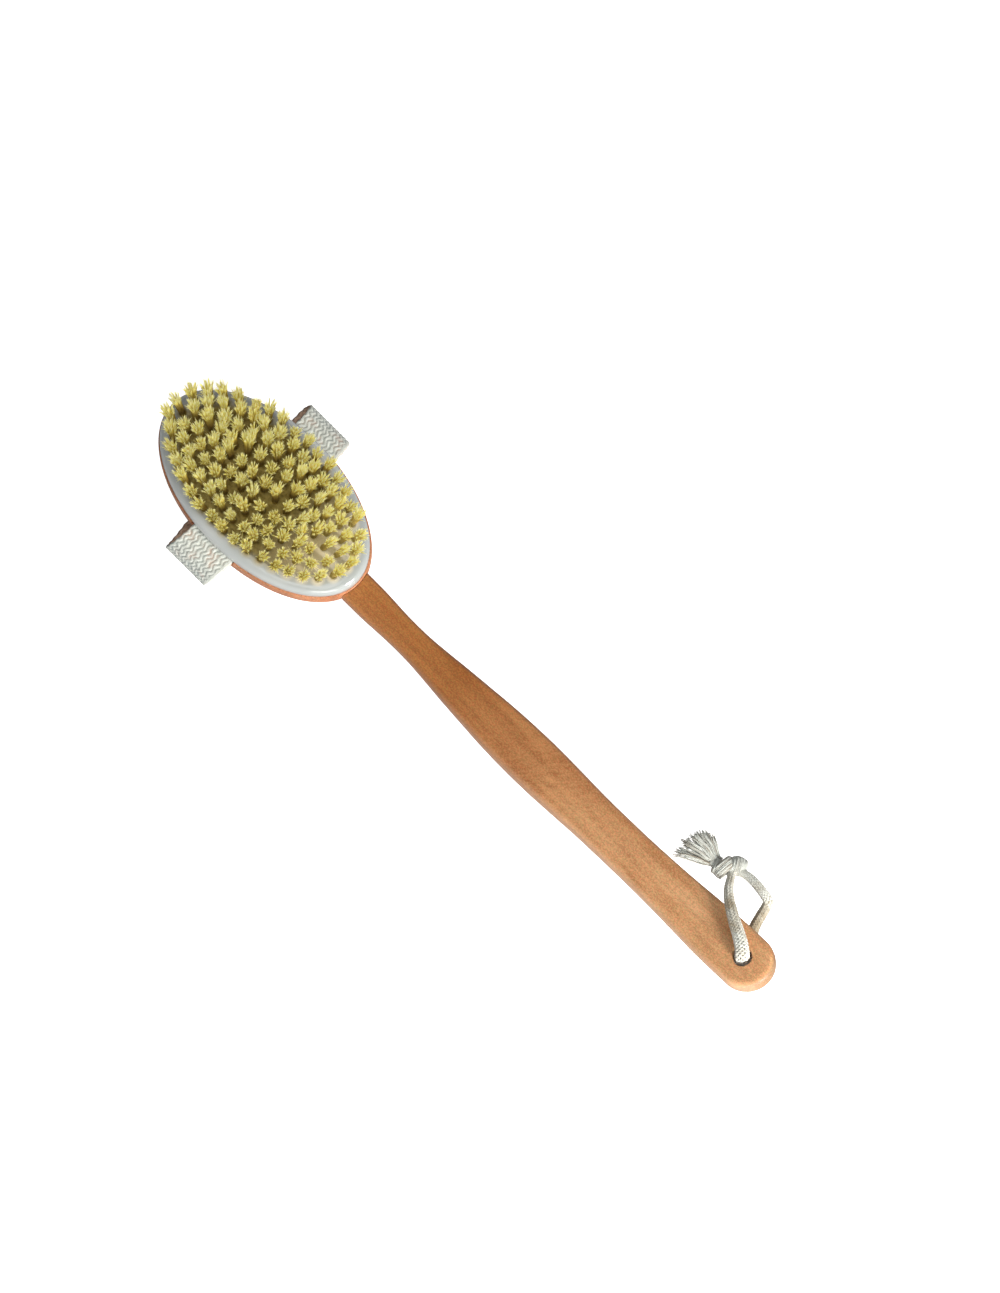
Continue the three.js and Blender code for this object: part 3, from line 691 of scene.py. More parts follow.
def tuft(x, y):
    """Points, faces, height and tone of one tuft."""
    n = PER_TUFT
    paths = bristle_paths(x, y)
    turn = rng.uniform(0, 2.09, n)
    columns = []
    for level, radius in enumerate(RADII):
        for side in range(SIDES):
            angle = turn + side * 2 * np.pi / SIDES
            offset = np.stack([np.cos(angle), np.sin(angle), np.zeros(n)], 1) * radius
            columns.append(paths[:, level] + offset)
    columns.append(paths[:, -1])
    points = np.stack(columns, 1).reshape(-1, 3)
    base = (np.arange(n) * PER_BRISTLE)[:, None, None]
    quads = (BRISTLE_QUADS[None] + base).reshape(-1, 4)
    tris = (BRISTLE_TRIS[None] + base).reshape(-1, 3)
    height = np.tile(np.append(np.repeat(LEVELS, SIDES), 1.0), n)
    tone = np.clip(rng.normal(0.5, 0.2, n) + rng.normal(0, 0.10), 0, 1)
    return points, quads, tris, height, np.repeat(tone, PER_BRISTLE)


def gather(parts):
    """Joins (points, quads, tris, *values) parts into points, faces and values."""
    points, quads, tris, *values = zip(*parts)
    bases = np.cumsum([0] + [len(p) for p in points[:-1]])
    faces = [np.vstack([f + base for f, base in zip(kind, bases)]) for kind in (quads, tris)]
    joined = [np.concatenate([np.broadcast_to(item, (len(p),)) for item, p in zip(value, points)])
              for value in values]
    return np.vstack(points), faces, *joined


for row_name, row_places, split in ROWS:
    first = 0
    for i, count in enumerate(split):
        parts = [tuft(x, y) for x, y in row_places[first:first + count]]
        first += count
        points, faces, height, tone = gather(parts)
        node = row_name + ("_%d" % (i + 1) if len(split) > 1 else "")
        bristles = mesh_obj(node.replace("tuft_row", "bristles"), points, faces, M_BRISTLE)
        set_attribute(bristles, "height", height)
        set_attribute(bristles, "tone", tone)
        register(bristles, "head", node)

# ------------------------------------------------------------------ hand strap
# Along the strap: y, z and how far its middle lies from STRAP_X. It passes under the plate a
# little askew, each loop slants towards the head's tip, and the low part lies nearer the tip.
STRAP_RUN = [
    (22, -1.5, -0.8), (29, -1.5, -1.0), (37.6, -1.52, -1.2), (42.4, -2.5, -1.8),
    (46.5, -5.4, -3.0), (49.1, -9.8, -4.5), (50.0, -15, -6.4), (49.0, -20.8, -8.6),
    (45.6, -25.8, -10.0), (40.6, -29.2, -10.4), (34, -30.75, -10.4), (28, -31, -10.3),
    (14, -31, -10.1), (0, -31, -9.9), (-14, -31, -9.8), (-28, -31, -9.7),
    (-33.5, -30.8, -9.4), (-40.8, -29.3, -7.9), (-46.2, -25.9, -6.5), (-49.9, -20.8, -5.0),
    (-51.0, -15, -3.3), (-50.0, -9.6, -1.6), (-47.2, -5.3, -0.1), (-42.9, -2.45, 0.8),
    (-37.6, -1.52, 1.2), (-29, -1.5, 1.0), (-22, -1.5, 0.8)]
COLS = 78  # points across each face
RIB_PITCH, ZIGZAG = 2.34, 4.8  # rib spacing across, zig-zag length along
RIB_DEPTH = 0.30
PLAIN_EDGE = 2.4


def rib_height(along, across):
    """Rounded zig-zag ribs along the strap: 0 in the grooves, 1 on the ribs."""
    phase = (along / ZIGZAG + 0.05 * np.sin(across * 1.3)) % 1.0
    triangle = np.abs(phase * 2 - 1) * 2 - 1
    loose = (0.16 * np.sin(along * 0.83 + across * 0.9)
             + 0.13 * np.sin(along * 1.71 - across * 1.37 + 1.0)
             + 0.10 * np.sin(along * 2.9 + across * 2.3))
    rib_at = (across + 0.64 * np.sin(np.pi / 2 * triangle) + loose) / RIB_PITCH
    rib = np.abs(np.sin(np.pi * rib_at)) ** 0.75
    cross = 0.5 + 0.5 * np.cos(2 * np.pi * along / 0.8 + 3.0 * np.pi * np.floor(rib_at))
    swell = 0.82 + 0.18 * np.sin(along * 1.23 + np.floor(rib_at) * 2.1)
    # A plain woven edge down the side nearer the handle.
    edge = np.clip((across - (STRAP_WIDTH / 2 - PLAIN_EDGE)) / 0.7, 0, 1)
    plain = edge * edge * (3 - 2 * edge)
    return (rib * (0.80 + 0.20 * cross) * swell) * (1 - plain) + plain * (0.62 + 0.16 * cross)


strap_path, strap_along = resample(catmull(STRAP_RUN, 14), 0.42)
path_y, path_z, path_shift = strap_path.T
strap_tangent = tangents(strap_path[:, :2])
outward = np.stack([-strap_tangent[:, 1], strap_tangent[:, 0]], 1)
width_at = np.linspace(-STRAP_WIDTH / 2, STRAP_WIDTH / 2, COLS)
edge_fall = np.clip((STRAP_WIDTH / 2 - np.abs(width_at)) / 0.55, 0, 1)
round_edge = np.sqrt(np.clip(1 - (1 - edge_fall) ** 2, 0, 1))[None, :]
along, across = np.meshgrid(strap_along, width_at, indexing="ij")
ribs = rib_height(along, across)
# The ribs flatten where the strap is pressed under the plate.
press = (1 - 0.6 * ((path_z > -1.9) & (np.abs(path_y) < 37.4)))[:, None]
half_thick = STRAP_THICK / 2 * round_edge * 0.92 + (ribs - 0.55) * RIB_DEPTH * round_edge * press
# The edge of the webbing waves with the zig-zag.
strap_x = STRAP_X + path_shift[:, None] + across * (1 + 0.010 * np.sin(along * 2 * np.pi / ZIGZAG))
outer_face, inner_face = (
    np.stack([strap_x, path_y[:, None] + sign * outward[:, :1] * half_thick,
              path_z[:, None] + sign * outward[:, 1:] * half_thick], -1) for sign in (1, -1))
strap_points = np.concatenate([outer_face, inner_face[:, ::-1]], 1)
rows, cols = strap_points.shape[:2]
j = np.arange(COLS - 1)
start_cap = np.stack([j, cols - 1 - j, cols - 2 - j, j + 1], 1)
end_cap = start_cap[:, ::-1] + (rows - 1) * cols
strap = mesh_obj("strap_webbing", strap_points.reshape(-1, 3),
                 [grid_faces(rows, cols), start_cap, end_cap], M_WEB)
rib_value = ribs * round_edge
set_attribute(strap, "rib", np.concatenate([rib_value, rib_value[:, ::-1]], 1))
face = np.ones((rows, COLS))
# Painted shade on the inner face of the loop's lower run.
inner_value = np.clip((-4 - path_z) / 6, 0, 1)[:, None] * face
set_attribute(strap, "inner", np.concatenate([0 * face, inner_value], 1))
# Painted shade in the grooves further down the loop.
far_value = np.clip((-4 - path_z) / 8, 0, 1)[:, None] * face
set_attribute(strap, "far", np.concatenate([far_value] * 2, 1))
register(strap, "head", "hand_strap")

# ------------------------------------------------------------------ handle
# Distance along x, full width.
WIDTH = np.array([
    [66, 17.8], [78, 17.6], [92, 16.2], [102, 15.8], [112, 16.3], [124, 18.2], [136, 20.4],
    [150, 22.5], [166, 24.8], [182, 26.0], [199, 26.1], [216, 25.0], [233, 23.8], [250, 23.5],
    [266, 23.7], [284, 24.6], [300, 26.0], [316, 27.7], [330, 28.4], [342, 28.4]])
# Distance along x, thickness.
THICKNESS = np.array([[66, 9.6], [100, 10], [150, 11.6], [205, 12.6], [260, 11.4], [310, 10],
                      [342, 9.4], [358, 9.2]])
EDGE_ROUND = 2.9
CROWN = 0.32
CROWN_ROWS = 8
SIDE_LEVELS = np.sin(np.linspace(-np.pi / 2, np.pi / 2, 23))  # -1 lower face, 1 upper face
COPE_GAP = 0.3
END_X = HANDLE_END - END_R


def half_thickness(x):
    return np.interp(x, THICKNESS[:, 0], THICKNESS[:, 1]) / 2


def bow(x):
    reach = np.maximum(0, x - HEAD_A)
    return TONGUE_Z + BOW * reach * reach


def bow_slope(x):
    return 2 * BOW * np.maximum(0, x - HEAD_A)


def off_bow(x, height):
    """The step from the bowed middle surface at x, square to it, by height."""
    slope = bow_slope(x)
    length = np.hypot(slope, 1)
    return np.stack([-slope / length * height, 0 * height, height / length], 1)


def handle_outline():
    """The outline in plan: out along +y, round the end and back along -y."""
    stations = np.linspace(HANDLE_START, END_X, 210)
    widths = catmull(WIDTH, 16)
    half_width = np.interp(stations, widths[:, 0], widths[:, 1]) / 2
    turn = np.linspace(0, np.pi / 2, 40)
    side = np.concatenate([np.stack([stations, half_width], 1)[:-1],
                           np.stack([END_X + END_R * np.sin(turn), END_R * np.cos(turn)], 1)])
    side[:, 1] = np.minimum(side[:, 1], END_R)
    return np.vstack([side, (side * [1, -1])[::-1][1:]])


def handle_rings(outline, tip):
    """The outline at each level between the faces, drawn in to round the edges."""
    tangent = tangents(outline)
    inward = np.stack([tangent[:, 1], -tangent[:, 0]], 1)
    inward[inward[:, 1] * outline[:, 1] > 0] *= -1
    inward[tip] = (-1, 0)
    rings = []
    for level in SIDE_LEVELS:
        inset = EDGE_ROUND * (1 - math.sqrt(max(0.0, 1 - abs(level) ** 3.6)))
        plan = outline + inward * inset
        plan[0, 0] = plan[-1, 0] = HANDLE_START
        x = plan[:, 0]
        middle = np.column_stack([plan, bow(x)])
        rings.append(middle + off_bow(x, level * half_thickness(x)))
    return rings


def handle_mesh():
    outline = handle_outline()
    count = len(outline)
    half = count // 2  # index of the tip, and points on each side of it
    rings = handle_rings(outline, half)
    blocks = list(rings)
    base = count * len(rings)
    quads, tips = [grid_faces(len(rings), count, flip=True)], []
    # Crowned faces: strips between the two sides, raised a little along the middle.
    for level, sign in ((0, -1), (len(rings) - 1, 1)):
        plus_y = rings[level][:half]
        minus_y = rings[level][::-1][:half]
        strips = [np.arange(half) + level * count]
        for k in range(1, CROWN_ROWS):
            part = k / CROWN_ROWS
            row = plus_y * (1 - part) + minus_y * part
            width = np.abs(plus_y[:, 1] - minus_y[:, 1])
            lift = CROWN * (1 - (2 * part - 1) ** 2) * np.minimum(1, width / 22)
            blocks.append(row + off_bow(row[:, 0], lift * sign))
            strips.append(np.arange(half) + base)
            base += half
        strips.append(count - 1 - np.arange(half) + level * count)
        for here, beside in zip(strips, strips[1:]):
            strip = np.stack([here[:-1], here[1:], beside[1:], beside[:-1]], 1)
            corner = np.array([[here[-1], half + level * count, beside[-1]]])
            quads.append(strip if sign < 0 else strip[:, ::-1])
            tips.append(corner if sign < 0 else corner[:, ::-1])
    return mesh_obj("handle_wood", np.vstack(blocks), quads + tips, M_HANDLE)


def close_mesh(obj):
    """Closes the hidden end and makes every face look out."""
    work = bmesh.new()
    work.from_mesh(obj.data)
    bmesh.ops.remove_doubles(work, verts=work.verts, dist=1e-7)
    open_edges = [edge for edge in work.edges if len(edge.link_faces) == 1]
    if open_edges:
        bmesh.ops.holes_fill(work, edges=open_edges, sides=0)
    bmesh.ops.recalc_face_normals(work, faces=work.faces)
    work.to_mesh(obj.data)
    work.free()


# The hanging hole's own frame: origin on the bow, z square to the handle.
HANG_TILT = math.atan(bow_slope(HOLE_X))
HANG_AT = np.array([HOLE_X, 0, bow(HOLE_X)])
HANG_TURN = np.array([[math.cos(HANG_TILT), 0, -math.sin(HANG_TILT)], [0, 1, 0],
                      [math.sin(HANG_TILT), 0, math.cos(HANG_TILT)]])


def hang_to_design(points):
    return np.asarray(points, float) @ HANG_TURN.T + HANG_AT


def hole_cutter():
    """The hole, with a small eased edge at each face and a wide flare beyond it."""
    face = float(half_thickness(HOLE_X)) + 0.45
    beyond = 20
    lower = [(HOLE_R + beyond - face + 0.9, -beyond), (HOLE_R + 0.75, -face + 0.1),
             (HOLE_R + 0.25, -face + 0.55), (HOLE_R, -face + 1.2)]
    upper = [(r, -z) for r, z in reversed(lower)]
    cutter = lathe_oval("c5", [(0, -beyond)] + lower + upper + [(0, beyond)], 1.0, 64)
    write_points(cutter, hang_to_design(read_points(cutter)))
    return cutter


handle = handle_mesh()
close_mesh(handle)
cope_a = HEAD_A + COPE_GAP
cope = lathe_oval("c4", [(0, -45), (cope_a, -45), (cope_a, 25), (0, 25)],
                  (HEAD_B + COPE_GAP) / cope_a, 288)
hole = hole_cutter()
tongue = box_obj(
    "c6", (HEAD_A - TONGUE_LENGTH, -TONGUE_WIDTH / 2, TONGUE_Z - TONGUE_THICK / 2),
    (HEAD_A + 8, TONGUE_WIDTH / 2, TONGUE_Z + TONGUE_THICK / 2))
bevel = tongue.modifiers.new("b", "BEVEL")
bevel.width = 0.0008
bevel.segments = 3
cut(handle, [cope, hole])
cut(handle, [tongue], "UNION")
# The booleans can leave extra slots, so both wooden pieces go back to a single one.
for piece, material in ((handle, M_HANDLE), (back, M_HEAD)):
    piece.data.materials.clear()
    piece.data.materials.append(material)
    blank = np.zeros(len(piece.data.polygons), np.int32)
    piece.data.polygons.foreach_set("material_index", blank)
sharpen(handle, 38)
register(handle, "handle", "handle")


# ------------------------------------------------------------------ cord helpers
def frames(path, across):
    """Two directions square to a path, carried along it with the least twist."""
    tangent = tangents(path)
    normal = np.zeros_like(path)
    normal[0] = np.asarray(across, float) - tangent[0] * np.dot(across, tangent[0])
    normal[0] /= np.linalg.norm(normal[0])
    for i in range(1, len(path)):
        carried = normal[i - 1] - tangent[i] * np.dot(normal[i - 1], tangent[i])
        normal[i] = carried / max(1e-9, np.linalg.norm(carried))
    return normal, np.cross(tangent, normal)


def closed_tube(path, rings, flip=False):
    """Points, quads and end caps of a tube through rings of points about a path."""
    rows, sides = rings.shape[:2]
    points = np.vstack([rings.reshape(-1, 3), path[0][None], path[-1][None]])
    j = np.arange(sides)
    after = (j + 1) % sides
    total = rows * sides
    last = total - sides
    caps = np.vstack([np.stack([np.full(sides, total), after, j], 1),
                      np.stack([np.full(sides, total + 1), last + j, last + after], 1)])
    return points, grid_faces(rows, sides, flip), caps[:, [0, 2, 1]] if flip else caps


def sweep(path, radius, sides):
    """A round tube along a path; radius may vary along it."""
    normal, side = frames(path, (0.13, 0.27, 0.95))
    radius = np.broadcast_to(np.asarray(radius, float), (len(path),))
    turn = np.linspace(0, 2 * np.pi, sides, endpoint=False)
    spokes = (np.cos(turn)[None, :, None] * normal[:, None, :]
              + np.sin(turn)[None, :, None] * side[:, None, :])
    return closed_tube(path, path[:, None, :] + radius[:, None, None] * spokes)


def core(path, half_width, half_thick, normal, side, sides):
    """A soft oval core that fills a braid or band, so that no light shows through."""
    turn = np.linspace(0, 2 * np.pi, sides, endpoint=False)
    rings = (path[:, None, :]
             + (half_width[:, None] * np.cos(turn)[None])[..., None] * side[:, None, :]
             + (half_thick[:, None] * np.sin(turn)[None])[..., None] * normal[:, None, :])
    return closed_tube(path, rings, flip=True)


def spaced(part, values):
    """Values spaced evenly along a path, read at fractions of its length."""
    return np.interp(part, np.linspace(0, 1, len(values)), values)


# ------------------------------------------------------------------ hanging cord
# The loop's path in the hole's frame.
LOOP_PATH = [
    (-35.5, 28.65, 5.8), (-34.84, 26.84, 6.2), (-32.52, 23.24, 7.2), (-29.28, 19.3, 8.2),
    (-24.53, 15.35, 8.9), (-19.3, 12.09, 9.1), (-14.03, 9.08, 8.9), (-8.65, 6.3, 8.4),
    (-3.2, 3.0, 7.6), (-0.4, 0.4, 5.6), (-0.1, -0.45, 2.4), (-0.2, -0.5, -3.2),
    (-0.9, 1.3, -6.6), (-3.8, 6.0, -8.2), (-7.8, 11.4, -8.2), (-11.0, 15.9, -6.8),
    (-11.9, 20.19, -4.6), (-12.25, 23.95, -2.4), (-12.19, 27.13, 0.5), (-12.43, 28.91, 2.2),
    (-13.87, 29.65, 3.2), (-16.65, 30.21, 4.0), (-21.5, 30.84, 4.8), (-27.28, 31.11, 5.0),
    (-31.38, 30.48, 5.0), (-33.57, 29.95, 5.0)]
# Spaced evenly along the loop: width, thickness, and how free it is of painted shade.
LOOP_WIDTH = [3.8, 4.4, 5.2, 5.9, 6.5, 7.3, 6.8, 5.8, 5.5, 5.2, 4.9, 4.7, 4.2]
LOOP_THICK = [3.2, 3.0, 2.9, 3.0, 3.7, 5.4, 4.2, 5.0, 5.5, 5.3, 4.7, 4.4, 3.6]
LOOP_UNSHADED = [0.95, 0.80, 0.70, 0.73, 0.92, 1, 0.72, 0.54, 0.42, 0.55, 1, 1, 1]
BRAID_PITCH, BRAID_YARN_R, BRAID_CORE_INSET = 13.0, 0.60, 0.7
STRANDS_EACH_WAY = 8


def braid(path):
    """A flat-lying tubular braid: strands wind both ways, passing over and under each other."""
    path, run = resample(path, 0.55)
    normal, side = frames(path, (0, 0, 1))
    part = run / run[-1]
    half_width = spaced(part, LOOP_WIDTH) / 2
    half_thick = spaced(part, LOOP_THICK) / 2
    unshaded = spaced(part, LOOP_UNSHADED)
    strands = STRANDS_EACH_WAY
    out = []
    for way in (1, -1):
        for k in range(strands):
            angle = way * 2 * np.pi * run / BRAID_PITCH + 2 * np.pi * k / strands
            weave = strands * (angle + way * np.pi / (2 * strands)) + (0 if way > 0 else np.pi)
            over = 0.16 * np.cos(weave)
            across = half_width - BRAID_YARN_R * 0.8 + over
            deep = half_thick - BRAID_YARN_R * 0.8 + over
            strand = (path + (across * np.cos(angle))[:, None] * side
                      + (deep * np.sin(angle))[:, None] * normal)
            # Along shaded stretches of the loop the tone drops below nothing, which paints shade
            # on the cord.
            tone = float(rng.uniform(0.3, 0.95)) * unshaded - 0.8 * (1 - unshaded)
            tone = np.concatenate([np.repeat(tone, 6), [tone[0], tone[-1]]])
            out.append((*sweep(strand, BRAID_YARN_R, 6), tone))
    out.append((*core(path, half_width - BRAID_CORE_INSET, half_thick - BRAID_CORE_INSET,
                      normal, side, 20), 0.15))
    return out


def cord_obj(name, points, faces, tone, material, node=None):
    cord = mesh_obj(name, points, faces, material)
    set_attribute(cord, "tone", tone)
    register(cord, "cord", node)


points, faces, tone = gather(braid(catmull(LOOP_PATH, 12)))
cord_obj("cord_loop", hang_to_design(points), faces, tone, M_CORD, "hanging_cord")

# ------------------------------------------------------------------ knot
# Its centre, two directions in the plane it lies in, and the one out of that plane.
KNOT_AT = np.array([300.93, 28.35, 19.41])
KNOT_U = np.array([0.6929, 0.7204, -0.0283])
KNOT_V = np.array([-0.6907, 0.6745, 0.2607])
KNOT_OUT = np.array([0.2069, -0.1611, 0.965])
# The cord through the knot: places in its plane and out of it.
KNOT_CORE = [(6.2, -3.0, 0), (3.4, -1.6, 0.2), (0, -0.3, 0.3), (-3.8, 0.6, 0.3),
             (-7.4, 2.0, 0.1), (-9.4, 2.9, 0)]
# Turns: centre, direction, half axes in plane and out, width, thickness, yarns, skew, least tone.
TURNS = [
    ((3.7, 0.5), (0.25, 0.97), (3.4, 3.3), (6.6,), (3.4,), 22, 0.12, 0.4),
    ((5.9, 0.1), (0.25, 0.97), (2.6, 2.7), (4.6,), (3.2,), 16, 0.2, 0.65),
    ((0.9, 0.2), (0.5, 0.87), (3.7, 3.1), (4.8,), (3.0,), 17, -0.02, 0.3),
    ((-2.6, -0.2), (0.78, 0.63), (4.7, 4.0), (6.2, 6.8, 6.2), (3.2, 3.4, 3.2), 21, -0.16, 0.05),
    # This turn lies in shade; its raised least tone paints light on it.
    ((-6.3, 0.2), (0.42, 0.91), (2.9, 2.7), (3.9,), (2.6,), 18, 0.1, 0.45),
]


def knot_point(u, v, out=0.0):
    return KNOT_AT + KNOT_U * u + KNOT_V * v + KNOT_OUT * out


def yarn_band(path, width, thick, across, yarns, least_tone, radius):
    """A band of the cord with its yarns running along it."""
    path, run = resample(path, 0.5)
    normal, side = frames(path, across)
    part = run / run[-1]
    half_width = spaced(part, width) / 2
    half_thick = spaced(part, thick) / 2
    out = []
    for k in range(yarns):
        angle = 2 * np.pi * k / yarns + rng.normal(0, 0.03)
        wobble = 0.08 * np.sin(part * rng.uniform(9, 17) + rng.uniform(0, 6))
        yarn = (path + ((half_width - radius + wobble) * np.cos(angle))[:, None] * side
                + ((half_thick - radius + wobble) * np.sin(angle))[:, None] * normal)
        tube = sweep(yarn, radius * rng.uniform(0.85, 1.15), 6)
        out.append((*tube, float(rng.uniform(least_tone, 1.0))))
    out.append((*core(path, half_width - radius, half_thick - radius, normal, side, 16), 0.4))
    return out


def knot_turn(centre, direction, half_axes, width, thick, yarns, skew, least_tone):
    """One closed turn of the cord round the knot's core."""
    du, dv = np.array(direction, float) / np.linalg.norm(direction)
    in_plane = KNOT_U * du + KNOT_V * dv
    out_of_plane = KNOT_OUT + (KNOT_U * dv - KNOT_V * du) * skew
    turn = np.linspace(0, 2 * np.pi + 0.08, 64)[:, None]
    path = (knot_point(*centre) + np.cos(turn) * in_plane * half_axes[0]
            + np.sin(turn) * out_of_plane * half_axes[1])
    return yarn_band(path, width, thick, in_plane, yarns, least_tone, radius=0.50)


parts = yarn_band(catmull([knot_point(*place) for place in KNOT_CORE], 10),
                  width=[4.4, 6.4, 6.8, 6.2, 5.2, 4.9], thick=[3.6, 5.4, 5.8, 5.4, 4.8, 4.6],
                  across=KNOT_OUT, yarns=24, least_tone=0.1, radius=0.42)
for turn in TURNS:
    parts += knot_turn(*turn)
cord_obj("cord_knot", *gather(parts), M_YARN)

# ------------------------------------------------------------------ frayed ends
# Fine yarns leave the knot together and fan out. Across the fan from -1 to 1: where they
# start, their middle and their far ends, in the knot's plane.
YARNS = 320
FAN_AT = np.array([-1.0, -0.5, 0.0, 0.5, 1.0])
NECK = np.array([(-9.1, 0.5), (-8.3, 1.6), (-7.3, 2.9), (-6.0, 4.1), (-4.7, 5.0)])
MIDDLE = np.array([(-16.2, 2.2), (-15.2, 5.6), (-12.9, 8.8), (-9.6, 10.9), (-5.9, 10.6)])
FAR = np.array([(-27.0, 6.0), (-25.0, 10.2), (-20.6, 15.2), (-14.4, 17.8), (-8.2, 15.8)])
NECK_LEAD = np.array([0.9, -0.5]) * 1.6  # from the neck back into the knot


def fan_place(table, fan):
    return np.array([np.interp(fan, FAN_AT, table[:, 0]), np.interp(fan, FAN_AT, table[:, 1])])


def frayed_yarn():
    fan = float(np.clip(rng.uniform(-1, 1) + rng.normal(0, 0.05), -1, 1))
    depth = rng.uniform(-1, 1) * math.sqrt(max(0.04, 1 - 0.8 * fan * fan))
    bunch = 0.18 * math.sin(fan * 13.0) + rng.normal(0, 0.07)
    neck = fan_place(NECK, fan)
    middle = fan_place(MIDDLE, fan + 0.5 * bunch)
    far = fan_place(FAR, fan + bunch)
    # One yarn in twenty reaches past the rest.
    reach = rng.uniform(0.80, 1.04) if rng.random() > 0.05 else rng.uniform(1.04, 1.14)
    far = middle + (far - middle) * reach + rng.normal(0, 0.35, 2)
    hook = rng.normal(0, 0.5, 2)
    sag = (neck - middle)[::-1] * [0.03, -0.03]
    path = catmull([
        knot_point(*(neck + NECK_LEAD), depth * 1.7),
        knot_point(*neck, depth * 2.0),
        knot_point(*((neck + middle) / 2 + sag), depth * 2.3),
        knot_point(*middle, depth * 2.7),
        knot_point(*((middle + far) / 2), depth * 3.0 - 0.3),
        knot_point(*(far + hook), depth * 3.3 - 1.0)], 5)
    phase = rng.uniform(0, 6.28, 2)
    part = np.linspace(0, 1, len(path))
    wave = (KNOT_U[None] * (0.16 * np.sin(part * 11 + phase[0]))[:, None]
            + KNOT_V[None] * (0.16 * np.cos(part * 10 + phase[1]))[:, None])
    path = path + wave * part[:, None]
    tube = sweep(path, np.interp(part, [0, 0.8, 1], [0.32, 0.29, 0.10]), 5)
    tone = 0.55 + 0.30 * math.sin(fan * 15.0 + 1.0) + rng.normal(0, 0.2)
    return (*tube, float(np.clip(tone, 0, 1)))


cord_obj("cord_tassel", *gather([frayed_yarn() for _ in range(YARNS)]), M_YARN)

# ------------------------------------------------------------------ staples keep the CAD mesh
for i in (1, 2, 3, 4):
    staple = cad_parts["strap_staple_%d" % i]
    if not staple.data.materials:
        staple.data.materials.append(M_STEEL)
    for slot in staple.material_slots:
        slot.link = "OBJECT"
        slot.material = M_STEEL


# ------------------------------------------------------------------ floor and world
def pale_floor():
    """Burns out to white seen straight on, but gives back only a little light."""
    mat = Shader("pale_floor")
    mottle = mat.noise(stretch=(3, 3, 3), scale=4)
    to_camera = mat.node("ShaderNodeLightPath").outputs["Is Camera Ray"]
    pale = mat.ramp(mottle, [(0.3, (0.93, 0.93, 0.93, 1)), (0.7, (0.95, 0.95, 0.95, 1))])
    mat.set(Base_Color=mat.mix(to_camera, (0.5, 0.5, 0.5, 1), pale), Roughness=0.9,
            Specular_IOR_Level=0.1, Emission_Color=(1, 1, 1, 1),
            Emission_Strength=mat.fade(to_camera, over=(0, 1), to=(0.10, 0.9)))
    # From below the floor lets the view through, so that the underside can be seen.
    under = mat.node("ShaderNodeMixShader")
    mat.link(mat.node("ShaderNodeNewGeometry").outputs["Backfacing"], under.inputs[0])
    mat.link(mat.surface.outputs[0], under.inputs[1])
    mat.link(mat.node("ShaderNodeBsdfTransparent").outputs[0], under.inputs[2])
    mat.link(under.outputs[0], mat.tree.nodes["Material Output"].inputs["Surface"])
    return mat.material


def studio_world():
    """A pale room, brighter towards the handle end than beyond the head's tip."""
    world = bpy.data.worlds.new("studio")
    bpy.context.scene.world = world
    world.use_nodes = True
    nodes, links = world.node_tree.nodes, world.node_tree.links
    direction = nodes.new("ShaderNodeTexCoord").outputs["Generated"]
    toward = nodes.new("ShaderNodeVectorMath")
    toward.operation = "DOT_PRODUCT"
    toward.inputs[1].default_value = (0.93, -0.37, 0.0)
    strength = nodes.new("ShaderNodeMapRange")
    for key, value in (("From Min", -1.0), ("From Max", 1.0), ("To Min", 0.05), ("To Max", 0.36)):
        strength.inputs[key].default_value = value
    links.new(direction, toward.inputs[0])
    links.new(toward.outputs["Value"], strength.inputs["Value"])
    # The backdrop itself is plain and pale.
    seen = nodes.new("ShaderNodeMix")
    seen.inputs["B"].default_value = 0.86
    to_camera = nodes.new("ShaderNodeLightPath").outputs["Is Camera Ray"]
    links.new(to_camera, seen.inputs["Factor"])
    links.new(strength.outputs["Result"], seen.inputs["A"])
    background = nodes["Background"]
    background.inputs[0].default_value = (1, 1, 1, 1)
    links.new(seen.outputs["Result"], background.inputs[1])


FLOOR_HALF, FLOOR_Z = 3000.0, -0.2  # in the scene's frame, mm
floor_corners = [(x * FLOOR_HALF, y * FLOOR_HALF, FLOOR_Z)
                 for x, y in ((-1, -1), (1, -1), (1, 1), (-1, 1))]
floor = mesh_obj("floor", np.array(floor_corners) - ORIGIN, [[(0, 1, 2, 3)]], pale_floor(),
                 smooth=False)
floor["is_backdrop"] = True
studio_world()

# ------------------------------------------------------------------ camera
AZIMUTH, ELEVATION, ROLL = (math.radians(angle) for angle in (52.1, 74.8, -6.2))
TARGET = np.array([140.0, 0, 0])
DISTANCE = 5000.0
VIEW_HEIGHT = 636.94581  # long side of the view at the target, mm
VIEW_RIGHT, VIEW_UP = 19.45813, 20.76355  # the view's centre from the target, mm
SENSOR = 36.0

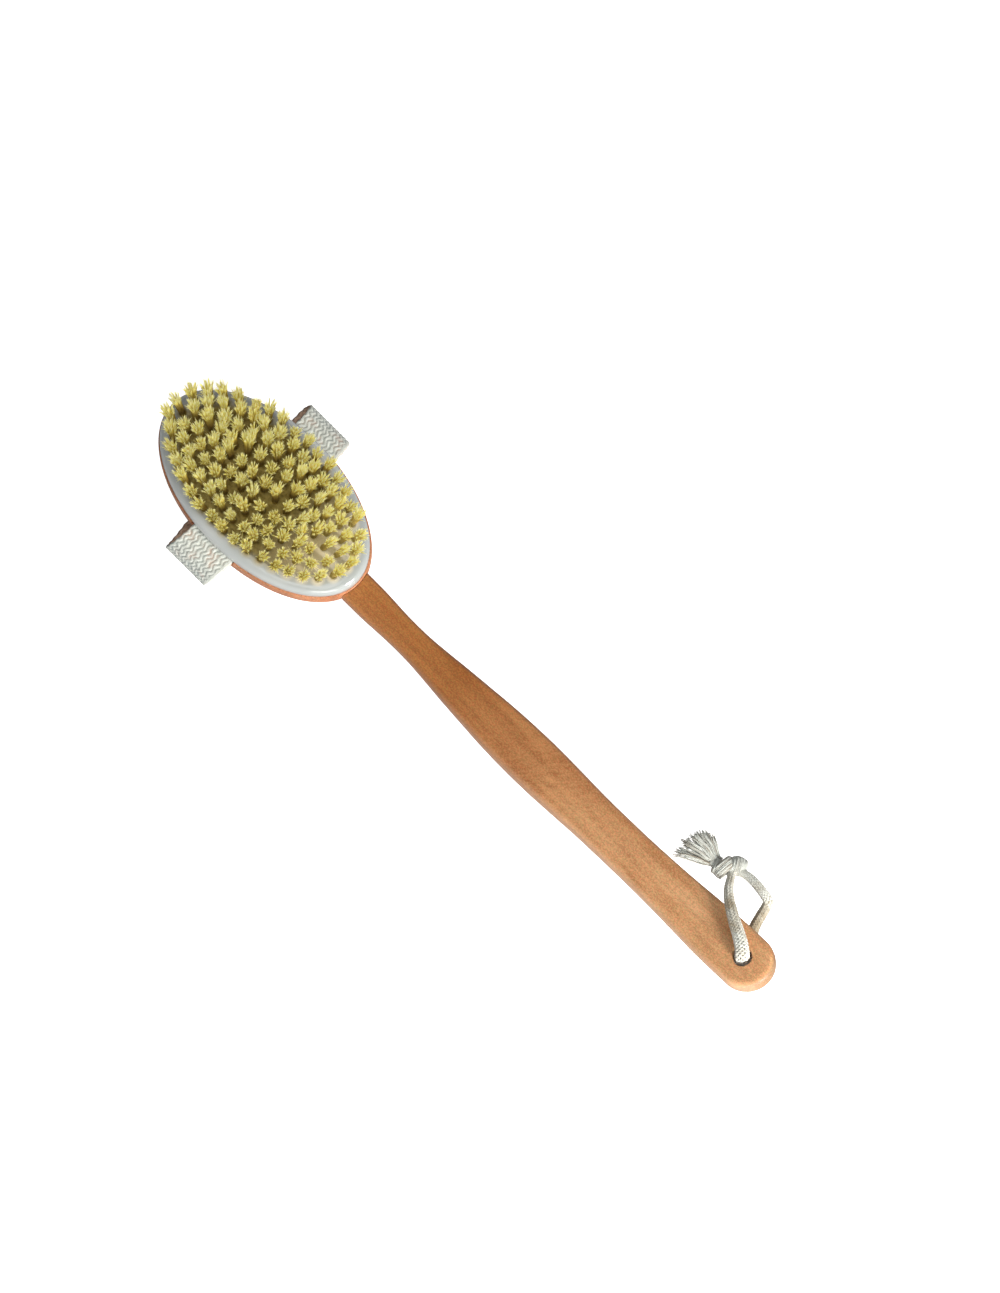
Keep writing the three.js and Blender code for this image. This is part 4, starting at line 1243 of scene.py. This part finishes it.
TOWARD = np.array([math.sin(AZIMUTH) * math.cos(ELEVATION),
                   -math.cos(AZIMUTH) * math.cos(ELEVATION), math.sin(ELEVATION)])
level_right = np.array([math.cos(AZIMUTH), math.sin(AZIMUTH), 0.0])
level_up = np.cross(TOWARD, level_right)
RIGHT = level_right * math.cos(ROLL) + level_up * math.sin(ROLL)
UP = -level_right * math.sin(ROLL) + level_up * math.cos(ROLL)

lens = bpy.data.cameras.new("camera")
camera = bpy.data.objects.new("camera", lens)
bpy.context.scene.collection.objects.link(camera)
camera_at = (TARGET + ORIGIN + TOWARD * DISTANCE) / 1000.0
camera.matrix_world = Matrix((*zip(RIGHT, UP, TOWARD, camera_at), (0, 0, 0, 1)))
lens.sensor_fit = "AUTO"
lens.sensor_width = SENSOR
lens.lens = SENSOR * DISTANCE / VIEW_HEIGHT
lens.shift_x = VIEW_RIGHT / VIEW_HEIGHT
lens.shift_y = VIEW_UP / VIEW_HEIGHT
lens.clip_end = 40.0
bpy.context.scene.camera = camera


# ------------------------------------------------------------------ lights
def area(name, place, size, power, colour):
    """A square light, sized in mm, aimed at the target."""
    light = bpy.data.lights.new(name, "AREA")
    light.shape = "RECTANGLE"
    light.size = light.size_y = size / 1000
    light.energy = power
    light.color = colour
    obj = bpy.data.objects.new(name, light)
    bpy.context.scene.collection.objects.link(obj)
    place = (np.asarray(place, float) + ORIGIN) / 1000
    obj.location = place
    aim = Vector((TARGET + ORIGIN) / 1000) - Vector(place)
    obj.rotation_euler = aim.to_track_quat("-Z", "Y").to_euler()


def from_view(right, up, toward):
    """A place given from the target in the camera's own directions, mm."""
    return TARGET + RIGHT * right + UP * up + TOWARD * toward


area("key_right", from_view(right=832, up=-676, toward=741), size=300, power=23.5,
     colour=(1.0, 0.975, 0.94))
area("low_key", from_view(right=100, up=-1395, toward=540), size=900, power=18.0,
     colour=(1.0, 0.98, 0.95))
area("back_fill", (-300.0, 1400.0, 520.0), size=700, power=2.5, colour=(1.0, 1.0, 1.0))
area("front_soft", from_view(right=-200, up=200, toward=2000), size=1100, power=10.5,
     colour=(0.97, 0.99, 1.0))

bpy.context.scene.view_settings.view_transform = "Standard"
bpy.context.view_layer.update()
sizes = {"cad": CAD_BOX, "visual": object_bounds()}
sizes = {key: [list(map(float, corner)) for corner in box] for key, box in sizes.items()}
